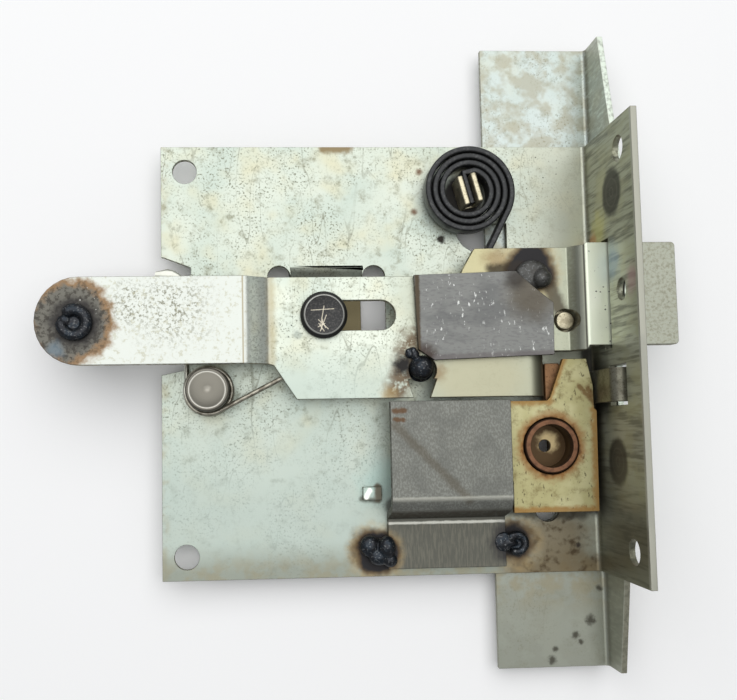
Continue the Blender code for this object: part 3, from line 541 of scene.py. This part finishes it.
def case_finish():
    """The hub case: yellow zinc with dark scuffs, rusted along its rim and round the hub."""
    finish = Finish("case_yellow_zinc", rgb(174, 168, 122), 0.46, 0.6)
    finish.paint(finish.patches(0.42, 0.66, 8, 3, seed=71), rgb(200, 196, 154), share=0.6)
    grime = finish.patches(0.48, 0.74, 2.6, 5, seed=76, roughness=0.7)
    finish.paint(grime, rgb(122, 108, 66), 0.55, share=0.75)
    slanted = finish.patches(0.6, 0.7, 0.8, 3, stretch=(1.0, 0.45, 1), seed=72)
    finish.paint(slanted, rgb(74, 64, 40), 0.6, share=0.75)
    finish.paint(finish.specks(1.9, 0.4, 0.5, seed=73), rgb(44, 38, 26), 0.7, 0.2, share=0.9)
    rim = finish.either(
        finish.line((2, -11.6), (40, -11.6), 0.2, 1.8, 0.8, 1.6),
        finish.line((30, -38), (51, -38), 0.2, 1.4, 0.8, 1.6),
        finish.line((51.4, -14), (51.4, -38), 0.3, 2.0, 1.0, 1.6, 5),
        finish.line((40.2, -11), (44, -1.4), 0.2, 1.3, 0.6, 1.4))
    finish.paint(rim, rgb(158, 116, 56), 0.6, share=0.8)
    halo = finish.distance(HUB, 1.3, 1.6, 74)
    finish.paint(finish.fade(halo, 9.6, 6.8), rgb(150, 96, 42), 0.65, share=0.8)
    finish.paint(finish.fade(halo, 7.4, 6.4), rgb(66, 40, 22), 0.7, share=0.8)
    for start, end in (((47.6, -8.2), (51.2, -12.4)), ((49.8, -8.6), (50.6, -10.4))):
        finish.paint(finish.line(start, end, 0.2, 1.0, 0.6, 1.0), rgb(112, 84, 48), share=0.85)
    finish.relief(finish.noise(16, 1.0, seed=75), 0.15)
    finish.grain(0.4, 0.012)
    finish.edges(rgb(106, 82, 44))
    return finish.done()


def strap_finish():
    """The connecting strap: dark mill steel with bright scuffs."""
    finish = Finish("mill_steel", rgb(122, 123, 120), 0.42, 0.75)
    finish.paint(finish.patches(0.42, 0.66, 5, 3, stretch=(0.5, 1, 1), seed=81), rgb(98, 99, 98), share=0.7)
    finish.paint(finish.patches(0.5, 0.62, 0.5, 3, stretch=(0.35, 1, 1), seed=82),
                 rgb(92, 90, 92), share=0.35)
    scuffs = finish.times(finish.patches(0.6, 0.68, 0.7, 3, stretch=(1, 0.45, 1), seed=83),
                          finish.patches(0.46, 0.6, 5.5, 2, seed=84))
    finish.paint(scuffs, rgb(206, 208, 204), 0.3, share=0.8)
    finish.paint(finish.near((36, 14), 2.5, 9, 2, 3, 85), rgb(84, 76, 62), share=0.75)
    finish.paint(finish.near((32.2, 18), 1, 4, 1, 2, 86), rgb(52, 48, 44), share=0.8)
    finish.paint(finish.near((9.4, -0.4), 1.2, 4.4, 1.2, 2, 87), rgb(58, 46, 40), share=0.9)
    finish.paint(finish.line((8, 19), (8, 1), 0.3, 0.9, 0.3, 1), rgb(70, 58, 40), share=0.9)
    finish.paint(finish.line((12, -1), (41, -0.2), 0.3, 1.2, 0.5, 1), rgb(92, 86, 86), share=0.6)
    finish.grain(0.4, 0.012)
    finish.edges(rgb(88, 84, 74))
    return finish.done()


def cover_finish():
    """The hold-down cover: grey steel with a stain, two rust marks and burns at its welds, painted shade
    over its bend and foot, and painted highlights along them.
    """
    finish = Finish("cover_steel", rgb(116, 117, 110), 0.5, 0.7)
    finish.paint(finish.patches(0.42, 0.62, 0.42, 2, stretch=(1, 0.6, 1), seed=91), rgb(148, 150, 144),
                 share=0.55)
    finish.paint(finish.patches(0.42, 0.66, 6, 3, seed=92), rgb(102, 103, 98), share=0.5)
    finish.paint(finish.line((2, -17), (19.4, -35), 0.3, 1.7, 0.7, 3), rgb(88, 80, 66), share=0.55)
    stain = finish.either(finish.line((1.8, -13.6), (4.4, -13.6), 0.2, 0.9, 0.5, 1),
                          finish.line((1.8, -15.6), (4.0, -15.8), 0.2, 0.8, 0.5, 1, 3))
    finish.paint(stain, rgb(96, 68, 42), share=0.85)
    # Painted shade: the cover darker from partway down its bend and over all its foot.
    finish.paint(finish.fade(finish.y, -36.6, -38.4), rgb(96, 96, 88))
    # Painted highlight along the top of the bend.
    finish.paint(finish.line((0, -34.6), (31, -34.6), 0.2, 0.8, 0.2, 3), rgb(164, 164, 154), 0.3, share=0.7)
    foot = finish.fade(finish.y, -40.0, -41.2)
    brushed = finish.patches(0.42, 0.62, 0.5, 3, stretch=(1, 0.12, 1), seed=93)
    finish.paint(finish.times(foot, brushed), rgb(120, 118, 106), share=0.6)
    # Painted highlight along the foot's top edge.
    finish.paint(finish.line((0, -40.9), (31, -40.9), 0.1, 0.5, 0.2, 2), rgb(196, 196, 186), 0.3, share=0.8)
    finish.heat((-0.6, -47.6), 3.6, 6.6, seed=94)
    finish.paint(finish.near((31, -46.2), 3.0, 6.5, 1.2, 2, 95), rgb(46, 44, 46), 0.45, share=0.9)
    finish.grain(0.4, 0.016)
    finish.edges(rgb(84, 80, 70))
    return finish.done()


def steel_finish(name, colour, dark, roughness=0.4, metallic=0.8):
    """Plain worked steel with a little soil in its pores."""
    finish = Finish(name, colour, roughness, metallic)
    finish.paint(finish.patches(0.42, 0.66, 2.4, 3, seed=101), dark, share=0.6)
    finish.paint(finish.patches(0.56, 0.68, 0.4, 2, seed=102), dark, 0.6, share=0.6)
    finish.grain(0.3, 0.01)
    return finish.done()


def rivet_finish():
    """The guide rivet: black oxide with a worn ring and a few scratched strokes."""
    finish = Finish("black_oxide", rgb(52, 52, 52), 0.45, 0.6)
    away = finish.distance(GUIDE)
    finish.paint(finish.patches(0.46, 0.66, 0.5, 3, seed=111), rgb(92, 91, 88), share=0.5)
    ring = finish.times(finish.fade(away, 4.45, 4.65), finish.fade(away, 4.95, 4.75))
    finish.paint(ring, rgb(186, 186, 180), 0.3, share=0.9)
    finish.paint(finish.fade(away, 4.8, 5.2), rgb(40, 40, 40), 0.38)
    strokes = (((-14.5, 11.6), (-15.4, 7.0)), ((-15.9, 8.3), (-13.6, 6.1)), ((-15.2, 6.0), (-14.9, 8.4)),
               ((-16.0, 6.6), (-14.4, 7.4)), ((-14.2, 6.4), (-15.0, 8.0)), ((-17.6, 10.6), (-12.2, 10.9)),
               ((-15.5, 5.6), (-14.0, 9.4)), ((-14.6, 5.6), (-15.8, 7.4)))
    for start, end in strokes:
        stroke = finish.line(start, end, 0.03, 0.16, 0.08, 0.6)
        finish.paint(stroke, rgb(206, 198, 178), 0.3, share=0.75)
    finish.grain(0.3, 0.01)
    return finish.done()


def post_finish():
    """The spring post: turned steel with a bright ring round its head."""
    finish = Finish("post_steel", rgb(128, 125, 115), 0.45, 0.7)
    away = finish.distance(POST)
    ring = finish.times(finish.fade(away, 4.0, 4.2), finish.fade(away, 4.55, 4.35))
    finish.paint(ring, rgb(206, 204, 194), 0.3, share=0.8)
    turned_lines = finish.fade(finish.math("PINGPONG", away, 0.22), 0.05, 0.2)
    finish.paint(turned_lines, rgb(128, 124, 114), share=0.35)
    finish.paint(finish.near((-42.3, -7.7), 0.1, 1.1, 0.3, 1), rgb(196, 192, 180), share=0.6)
    finish.paint(finish.fade(away, 4.6, 5.0), rgb(92, 88, 80), 0.4)
    finish.grain(0.3, 0.012)
    return finish.done()


def oxide_finish():
    """The clock spring: black oxide with a few bright nicks."""
    finish = Finish("spring_oxide", rgb(50, 51, 52), 0.38, 0.55)
    finish.paint(finish.patches(0.5, 0.68, 0.6, 3, seed=121), rgb(90, 91, 90), share=0.5)
    finish.paint(finish.specks(1.6, 0.15, 0.35, seed=122), rgb(170, 170, 164), 0.3, 0.8, share=0.7)
    finish.grain(0.3, 0.012)
    return finish.done()


def wire_finish():
    """The torsion spring: bright wire, brightest on its paddle."""
    finish = Finish("spring_wire", rgb(168, 164, 150), 0.3, 0.85)
    finish.paint(finish.patches(0.42, 0.64, 1.5, 3, seed=131), rgb(92, 84, 72), share=0.7)
    finish.paint(finish.fade(finish.x, -47.4, -48.8), rgb(214, 216, 206), 0.3, share=0.8)
    finish.grain(0.3, 0.008)
    return finish.done()


def hub_finish():
    """The hub: rusted steel, with painted shade in its cup and a painted pool of light low inside it."""
    finish = Finish("hub_rust", rgb(126, 88, 62), 0.5, 0.6)
    away = finish.distance(HUB)
    finish.paint(finish.patches(0.42, 0.64, 1.4, 3, seed=141), rgb(84, 56, 38), share=0.6)
    finish.paint(finish.fade(away, 6.15, 6.45), rgb(38, 24, 16), 0.7, share=0.9)
    # Painted shade in the cup, less deep low down, and a painted pool of light near its floor.
    finish.paint(finish.fade(away, 5.35, 5.15), rgb(58, 42, 28), 0.6)
    inside = finish.fade(finish.z, 9.5, 7.0)
    finish.paint(finish.times(inside, finish.fade(away, 5.35, 5.15)), rgb(84, 64, 38), 0.5)
    lit = finish.near((41.0, -21.6), 1.2, 3.4, 1.4, 1.6)
    finish.paint(finish.times(lit, inside), rgb(198, 178, 132), 0.4, share=0.85)
    finish.grain(0.3, 0.02)
    return finish.done()


def weld_finish(name, colour, tint, roughness):
    """Solidified weld metal: tinted where it cooled, with bright specks and a low ripple."""
    finish = Finish(name, colour, roughness, 0.65)
    finish.paint(finish.patches(0.45, 0.62, 1.6, 3, seed=151), tint, share=0.6)
    finish.paint(finish.patches(0.56, 0.66, 0.5, 3, seed=152), rgb(132, 134, 134), 0.3, share=0.45)
    finish.relief(finish.noise(1.8, 2, seed=153), 0.06)
    finish.grain(0.3, 0.03)
    return finish.done()


FINISHES = {
    "plate": plate_finish(), "angle": angle_finish(), "slide": slide_finish(), "bolt": bolt_finish(),
    "case": case_finish(), "strap": strap_finish(), "cover": cover_finish(), "rivet": rivet_finish(),
    "post": post_finish(), "oxide": oxide_finish(), "wire": wire_finish(), "hub": hub_finish(),
    "lug": steel_finish("lug_steel", rgb(120, 118, 104), rgb(70, 66, 54)),
    "stud": steel_finish("stud_steel", rgb(110, 108, 102), rgb(64, 60, 54)),
    "pin": steel_finish("bright_steel", rgb(206, 198, 170), rgb(116, 106, 84), 0.34),
    "cam": steel_finish("cam_rust", rgb(150, 112, 76), rgb(84, 54, 32), 0.55, 0.5),
    "inner": steel_finish("soiled_steel", rgb(104, 92, 74), rgb(58, 46, 34), 0.55, 0.6),
    "weld_black": weld_finish("weld_black", rgb(40, 42, 46), rgb(34, 46, 56), 0.3),
    "weld_grey": weld_finish("weld_grey", rgb(78, 78, 76), rgb(62, 60, 56), 0.42),
}


# ---------------------------------------------------------------- shapes


def place(obj, body, finish, slot, node):
    """Puts a finished piece in the scene with its look and the one body it rides on, if any, and hides the
    CAD node it stands for.
    """
    bpy.context.scene.collection.objects.link(obj)
    obj.data.materials.clear()
    obj.data.materials.append(FINISHES[finish])
    if body:
        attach(obj, body)
    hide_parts(node)


def smooth(mesh, angle):
    for polygon in mesh.polygons:
        polygon.use_smooth = True
    mesh.set_sharp_from_angle(angle=math.radians(angle))
    return mesh


def sheet(node, width):
    """A copy of a CAD node's solid with its coplanar facets merged and its edges rounded to a width."""
    mesh = frame["nodes"][node].data.copy()
    shape = bmesh.new()
    shape.from_mesh(mesh)
    bmesh.ops.remove_doubles(shape, verts=shape.verts, dist=0.002 * MM)
    flat = math.radians(FLAT_ANGLE)
    bmesh.ops.dissolve_limit(shape, angle_limit=flat, verts=shape.verts, edges=shape.edges)
    shape.to_mesh(mesh)
    shape.free()
    for polygon in mesh.polygons:
        polygon.use_smooth = True
    made = bpy.data.objects.new(node + "_detailed", mesh)
    bevel = made.modifiers.new("Rounded edges", "BEVEL")
    bevel.width = width * MM
    bevel.segments = 2
    bevel.limit_method = "ANGLE"
    bevel.angle_limit = math.radians(BEVEL_ANGLE)
    bevel.use_clamp_overlap = False
    made.modifiers.new("Flat faces", "WEIGHTED_NORMAL").keep_sharp = True
    return made


def mesh_object(name, vertices, faces, angle):
    mesh = bpy.data.meshes.new(name)
    mesh.from_pydata([Vector(v) * MM for v in vertices], [], faces)
    mesh.validate()
    shape = bmesh.new()
    shape.from_mesh(mesh)
    bmesh.ops.recalc_face_normals(shape, faces=shape.faces)
    shape.to_mesh(mesh)
    shape.free()
    return bpy.data.objects.new(name, smooth(mesh, angle))


def rounded(points, radii):
    """A polyline with each corner turned into an arc of its radius."""
    result = [Vector(points[0])]
    for before, corner, after, radius in zip(points, points[1:], points[2:], radii):
        corner = Vector(corner)
        back, ahead = (Vector(before) - corner).normalized(), (Vector(after) - corner).normalized()
        half = back.angle(ahead) / 2
        reach = radius / math.tan(half)
        start, end = corner + back * reach, corner + ahead * reach
        centre = corner + (back + ahead).normalized() * (radius / math.sin(half))
        steps = max(2, round(math.degrees(math.pi - 2 * half) / ARC_STEP))
        for i in range(steps + 1):
            spoke = (start - centre).lerp(end - centre, i / steps)
            result.append(centre + spoke.normalized() * radius)
    result.append(Vector(points[-1]))
    return result


def turned(name, x, y, profile, steps):
    """A shape turned about an upright axis from (radius, z) points, which end on the axis or form a ring."""
    vertices, rings = [], []
    for radius, z in profile:
        count = 1 if radius < ON_AXIS else steps
        rings.append(list(range(len(vertices), len(vertices) + count)))
        for i in range(count):
            turn = 2 * math.pi * i / steps
            vertices.append((x + radius * math.cos(turn), y + radius * math.sin(turn), z))
    faces = []
    is_ring = profile[0][0] > ON_AXIS
    for upper, lower in zip(rings, rings[1:] + rings[:1] if is_ring else rings[1:]):
        for i in range(steps):
            corners = [upper[i % len(upper)], upper[(i + 1) % len(upper)],
                       lower[(i + 1) % len(lower)], lower[i % len(lower)]]
            faces.append(list(dict.fromkeys(corners)))
    return mesh_object(name, vertices, faces, SHARP_ANGLE)


def swept(name, path, section, scales=None):
    """A closed section carried along a path, its second axis kept upright, and capped at both ends."""
    vertices, faces, count = [], [], len(section)
    for i, point in enumerate(path):
        along = (path[min(i + 1, len(path) - 1)] - path[max(i - 1, 0)]).normalized()
        side = along.cross(Vector((0, 0, 1))).normalized()
        up = side.cross(along).normalized()
        wide, tall = scales[i] if scales else (1, 1)
        vertices += [point + side * (a * wide) + up * (b * tall) for a, b in section]
    for i in range(len(path) - 1):
        for j in range(count):
            a, b = i * count + j, i * count + (j + 1) % count
            faces.append([a, b, b + count, a + count])
    faces.append(list(range(count)))
    faces.append(list(range(len(vertices) - count, len(vertices))))
    return mesh_object(name, vertices, faces, SWEPT_SHARP_ANGLE)


def circle(radius, steps):
    turns = [2 * math.pi * i / steps for i in range(steps)]
    return [(radius * math.cos(turn), radius * math.sin(turn)) for turn in turns]


def round_bar(width, height, radius):
    """A rectangular section with rounded corners."""
    w, h = width / 2 - radius, height / 2 - radius
    section = []
    for cx, cy, start in ((w, h, 0), (-w, h, 90), (-w, -h, 180), (w, -h, 270)):
        for i in range(4):
            turn = math.radians(start + 30 * i)
            section.append((cx + radius * math.cos(turn), cy + radius * math.sin(turn)))
    return section


def bead(name, lumps, uneven, voxel, seed):
    """A weld bead: balls (x, y, z and three radii) run together, smoothed, then made uneven."""
    mesh = bpy.data.meshes.new(name)
    shape = bmesh.new()
    for x, y, z, a, b, c in lumps:
        ball = bmesh.ops.create_icosphere(shape, subdivisions=3, radius=1.0)
        spread = Matrix.Translation(Vector((x, y, z)) * MM) @ Matrix.Diagonal((a * MM, b * MM, c * MM, 1))
        bmesh.ops.transform(shape, matrix=spread, verts=ball["verts"])
    shape.to_mesh(mesh)
    shape.free()
    rough = bpy.data.objects.new(name + "_rough", mesh)
    bpy.context.scene.collection.objects.link(rough)
    run = rough.modifiers.new("Run together", "REMESH")
    run.mode = "VOXEL"
    run.voxel_size = voxel * MM
    soften = rough.modifiers.new("Soften", "SMOOTH")
    soften.iterations = 4
    bpy.context.view_layer.update()
    graph = bpy.context.evaluated_depsgraph_get()
    joined = bpy.data.meshes.new_from_object(rough.evaluated_get(graph))
    bpy.data.objects.remove(rough)
    normals = [v.normal.copy() for v in joined.vertices]
    for vertex, normal in zip(joined.vertices, normals):
        sample = vertex.co / MM * 0.7 + Vector((seed, seed * 2, 0))
        vertex.co += normal * (noise.fractal(sample, 1.0, 2.0, 3) * uneven * MM)
    return bpy.data.objects.new(name, smooth(joined, 180))


# ---------------------------------------------------------------- sheets

# The node, its body, finish and slot, and the width to which its edges are rounded.
SHEETS = [
    ("base_plate", "latch_frame", "plate", "zinc", 0.14),
    ("mounting_angle", "latch_frame", "angle", "zinc", 0.14),
    ("slide_bar", "bolt_carriage", "slide", "zinc", 0.22),
    ("latch_bolt", "bolt_carriage", "bolt", "yellow_zinc", 0.2),
    ("connecting_strap", "bolt_carriage", "strap", "raw_steel", 0.14),
    ("hub_case_top", "latch_frame", "case", "yellow_zinc", 0.14),
    ("hub_case_lower", "latch_frame", "case", "yellow_zinc", 0.14),
    ("hold_down_cover", "latch_frame", "cover", "raw_steel", 0.2),
    ("flange_lug", "latch_frame", "lug", "raw_steel", 0.2),
    ("hub_cam", "hub_assembly", "cam", "rusty_steel", 0.2),
    ("hub_retainer", "hub_assembly", "inner", "raw_steel", 0.12),
    ("spring_arbor", "latch_frame", "pin", "bright_steel", 0.35),
]
for node, body, finish, slot, width in SHEETS:
    place(sheet(node, width), body, finish, slot, node)

# ---------------------------------------------------------------- turned pieces

RIVET_PROFILE = [(0, 13.2), (4.35, 13.2), (4.5, 13.28), (4.75, 13.22), (4.95, 13.0), (5.5, 12.55),
                 (5.65, 12.3), (5.65, 11.3), (5.45, 11.1), (3.2, 11.1), (3.2, -4.8), (2.9, -5.0), (0, -5.0)]
BUSH_PROFILE = [(5.2, 8.3), (5.0, 8.5), (3.6, 8.5), (3.5, 8.3), (3.5, -3.0), (3.6, -3.2), (5.0, -3.2),
                (5.2, -3.0)]
POST_PROFILE = [(0, 12.86), (0.35, 12.9), (0.7, 13.0), (4.05, 13.0), (4.2, 12.9), (4.4, 12.9), (4.55, 13.0),
                (4.85, 12.98), (5.1, 12.8), (5.2, 12.5), (5.2, 11.35), (4.95, 11.1), (2.5, 11.1), (2.5, 0.3),
                (2.3, 0.1), (0, 0.1)]
PIN_PROFILE = [(0, 10.6), (1.7, 10.58), (2.05, 10.45), (2.2, 10.2), (2.2, 7.4), (3.5, 7.4), (3.6, 7.3),
               (3.6, 4.8), (3.4, 4.6), (0, 4.6)]
STUD_PROFILE = [(0, 13.1), (2.5, 13.1), (2.5, 11.4), (3.8, 11.4), (4.0, 11.2), (4.0, -4.4), (3.4, -5.0),
                (0, -5.0)]

# The node, where it stands, its profile of (radius, z), its number of sides, and its body, finish and slot.
TURNED = [
    ("guide_rivet", GUIDE, RIVET_PROFILE, 72, "latch_frame", "rivet", "black_oxide"),
    ("guide_bush", GUIDE, BUSH_PROFILE, 72, "latch_frame", "inner", "rusty_steel"),
    ("spring_post", POST, POST_PROFILE, 72, "latch_frame", "post", "raw_steel"),
    ("bolt_pin", PIN, PIN_PROFILE, 48, "bolt_carriage", "pin", "bright_steel"),
    ("pull_stud", STUD, STUD_PROFILE, 72, "bolt_carriage", "stud", "raw_steel"),
]
for node, middle, profile, steps, body, finish, slot in TURNED:
    place(turned(node + "_detailed", *middle, profile, steps), body, finish, slot, node)

for index in range(1, 5):
    place(sheet(f"case_spacer_{index}", 0.15), "latch_frame", "inner", "raw_steel", f"case_spacer_{index}")

place(sheet("hub_sleeve", 0.14), "hub_assembly", "hub", "rusty_steel", "hub_sleeve")

# ---------------------------------------------------------------- springs


def torsion_spring():
    """Close turns of wire round the post, from a flattened paddle on the left to a leg under the slide."""
    x, y = POST
    radius, low, pitch, steps = 5.6, 2.7, 1.5, 150
    leg_angle = 27
    turns = 3 + (90 + leg_angle) / 360
    coil = []
    for i in range(steps + 1):
        turn = math.pi + 2 * math.pi * turns * i / steps
        height = low + pitch * turns * i / steps
        coil.append(Vector((x + radius * math.cos(turn), y + radius * math.sin(turn), height)))
    left = rounded([(-55.6, 21.3, low), (-49.8, 21.3, low), (x - radius, 18.4, low), (x - radius, y, low)],
                   [5.0, 3.2])
    out = Vector((math.cos(math.radians(leg_angle)), math.sin(math.radians(leg_angle)), 0))
    right = [coil[-1] + out * d for d in (1.5, 3, 4.5, 6, 7.5, 9, 10.5, 12, 14, 16, 18)]
    path = left + coil[1:] + right
    scales = []
    paddle_x, paddle_run, paddle_y = -48.6, 3.5, 15
    for point in path:
        flat = max(0.0, min(1.0, (paddle_x - point.x) / paddle_run)) if point.y > paddle_y else 0.0
        scales.append((1 + 1.3 * flat, 1 - 0.15 * flat))
    scales[0] = (1.2, 0.6)
    made = swept("torsion_spring_wire", path, circle(WIRE_RADIUS, 14), scales)
    place(made, None, "wire", "bright_steel", "torsion_spring")
    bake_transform(made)


def clock_spring():
    """Flat strip wound on edge, from the arbor's slot out to a leg under the bolt."""
    slot_tilt = math.radians(14.7)
    start, sweep = math.pi / 2 + slot_tilt, -(2 * math.pi * 3 + math.radians(132))
    inner, outer, steps, middle = 5.2, 11.1, 220, 5.15
    along = Vector((math.cos(start), math.sin(start), 0))
    centre = Vector((*ARBOR, middle))
    path = [centre + along * d for d in (-3.3, -1, 1, 3, 4.6)]
    for i in range(6, steps + 1):
        radius = inner + (outer - inner) * i / steps
        turn = start + sweep * i / steps
        path.append(centre + Vector((math.cos(turn), math.sin(turn), 0)) * radius)
    leg = Vector((-0.46, -0.89, 0)).normalized()
    path += [path[-1] + leg * d for d in (1.5, 3, 4.5, 6, 7.5, 9, 10.5, 12.6)]
    made = swept("clock_spring_strip", path, round_bar(1.4, 4.5, 0.42))
    place(made, None, "oxide", "black_oxide", "clock_spring")
    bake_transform(made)


torsion_spring()
clock_spring()

# ---------------------------------------------------------------- welds


def ring_of_lumps(x, y, z, reach, first, last, size, count):
    """Lumps along an arc from the first to the last angle, growing a little as the bead was laid."""
    lumps = []
    for i in range(count):
        share = i / (count - 1)
        turn = math.radians(first + (last - first) * share)
        grown = size * (1 + 0.18 * share)
        spot = (x + reach * math.cos(turn), y + reach * math.sin(turn), z)
        lumps.append((*spot, grown, grown, grown * 0.95))
    return lumps


# Each lump is a ball run into the bead: x, y, z and its three radii.
PLUG = [*ring_of_lumps(*PLUG_WELD, 14.4, 3.0, 190, 475, 1.3, 24),
        (-75.4, 8.6, 14.0, 1.6, 1.4, 1.0), (-73.2, 8.1, 13.9, 2.4, 2.4, 0.5)]
BALL = [(8.9, -3.2, 10.6, 2.9, 2.9, 2.7), (8.9, -3.4, 8.8, 3.3, 3.3, 1.4), (7.2, -0.2, 11.4, 1.2, 1.3, 1.2),
        (6.9, 0.8, 11.6, 0.8, 0.9, 0.8)]
DROP = [(6.1, 0.2, 11.2, 1.2, 1.3, 0.9), (6.6, 0.9, 11.2, 0.8, 0.8, 0.7)]
DOME = [(36.6, 19.0, 11.4, 4.1, 3.7, 1.5), (38.6, 18.0, 11.9, 2.5, 2.4, 2.5),
        (34.6, 19.4, 11.4, 2.2, 2.2, 1.4)]
LOBES = [(-3.6, -46.4, 3.0, 2.5, 2.7, 1.9), (0.5, -46.6, 3.9, 2.2, 2.8, 2.1),
         (-1.4, -49.0, 3.3, 2.7, 2.1, 1.8), (1.3, -49.8, 3.4, 1.8, 1.8, 1.6),
         (-1.6, -47.6, 2.6, 3.2, 3.2, 1.5)]
DISH = [*ring_of_lumps(32.9, -46.5, 3.1, 2.1, -110, 120, 0.9, 16), (31.0, -46.3, 3.2, 1.9, 0.9, 1.3),
        (32.7, -46.5, 2.2, 2.8, 2.8, 0.9), (29.4, -46.0, 3.7, 2.3, 2.5, 0.6)]

# The node, its lumps, how uneven it is, the remesh's voxel, a seed, the body and the finish.
WELDS = [
    ("plug_weld", PLUG, 0.05, 0.2, 0.0, "bolt_carriage", "weld_black"),
    ("strap_weld_left", BALL, 0.05, 0.2, 3.0, "bolt_carriage", "weld_black"),
    ("strap_weld_small", DROP, 0.1, 0.15, 5.0, "bolt_carriage", "weld_black"),
    ("strap_weld_right", DOME, 0.04, 0.2, 7.0, "bolt_carriage", "weld_grey"),
    ("cover_weld_left", LOBES, 0.04, 0.2, 11.0, "latch_frame", "weld_black"),
    ("cover_weld_right", DISH, 0.08, 0.2, 13.0, "latch_frame", "weld_black"),
]
for node, lumps, uneven, voxel, seed, body, finish in WELDS:
    place(bead(node + "_bead", lumps, uneven, voxel, seed), body, finish, "weld", node)

# ---------------------------------------------------------------- floor, light and camera


def floor():
    mesh = bpy.data.meshes.new("floor")
    shape = bmesh.new()
    bmesh.ops.create_grid(shape, x_segments=1, y_segments=1, size=FLOOR_HALF * MM)
    shape.to_mesh(mesh)
    shape.free()
    made = bpy.data.objects.new("floor", mesh)
    made.location.z = (FLOOR_Z - FLOOR_GAP) * MM
    bpy.context.scene.collection.objects.link(made)
    material = bpy.data.materials.new("white_table")
    material.use_nodes = True
    shader = material.node_tree.nodes["Principled BSDF"]
    shader.inputs["Base Color"].default_value = (*rgb(252, 252, 252), 1)
    shader.inputs["Roughness"].default_value = 0.7
    shader.inputs["Specular IOR Level"].default_value = 0.2
    mesh.materials.append(material)


def key_light():
    """One large, soft light above the plate, towards +Y, aimed at the plate's middle."""
    data = bpy.data.lights.new("key", "AREA")
    data.shape = "SQUARE"
    data.size = KEY_SIZE * MM
    data.energy = KEY_WATTS
    made = bpy.data.objects.new("key", data)
    made.location = Vector(KEY_PLACE) * MM
    made.rotation_euler = (-made.location).to_track_quat("-Z", "Y").to_euler()
    bpy.context.scene.collection.objects.link(made)


def world(colour, strength):
    made = bpy.data.worlds.new("soft_room")
    made.use_nodes = True
    background = made.node_tree.nodes["Background"]
    background.inputs["Color"].default_value = (*colour, 1)
    background.inputs["Strength"].default_value = strength
    bpy.context.scene.world = made


def camera():
    """The photograph's viewpoint: 225 mm above the plate, a little off its middle, nearly straight down."""
    data = bpy.data.cameras.new("camera")
    data.sensor_width = 36.0
    data.lens = 43.962
    data.shift_x = 0.07938
    data.shift_y = 0.02307
    data.clip_start = 10 * MM
    data.clip_end = 10000 * MM
    made = bpy.data.objects.new("camera", data)
    turn = Vector([math.radians(angle) for angle in CAMERA_TURN])
    rotation = Matrix.Rotation(-turn.length, 4, turn.normalized())
    made.matrix_world = Matrix.Translation(Vector(CAMERA_PLACE) * MM) @ rotation
    bpy.context.scene.collection.objects.link(made)
    bpy.context.scene.camera = made


floor()
world((0.96, 0.98, 1.0), 0.32)
key_light()
camera()
bpy.context.scene.view_settings.view_transform = "Standard"
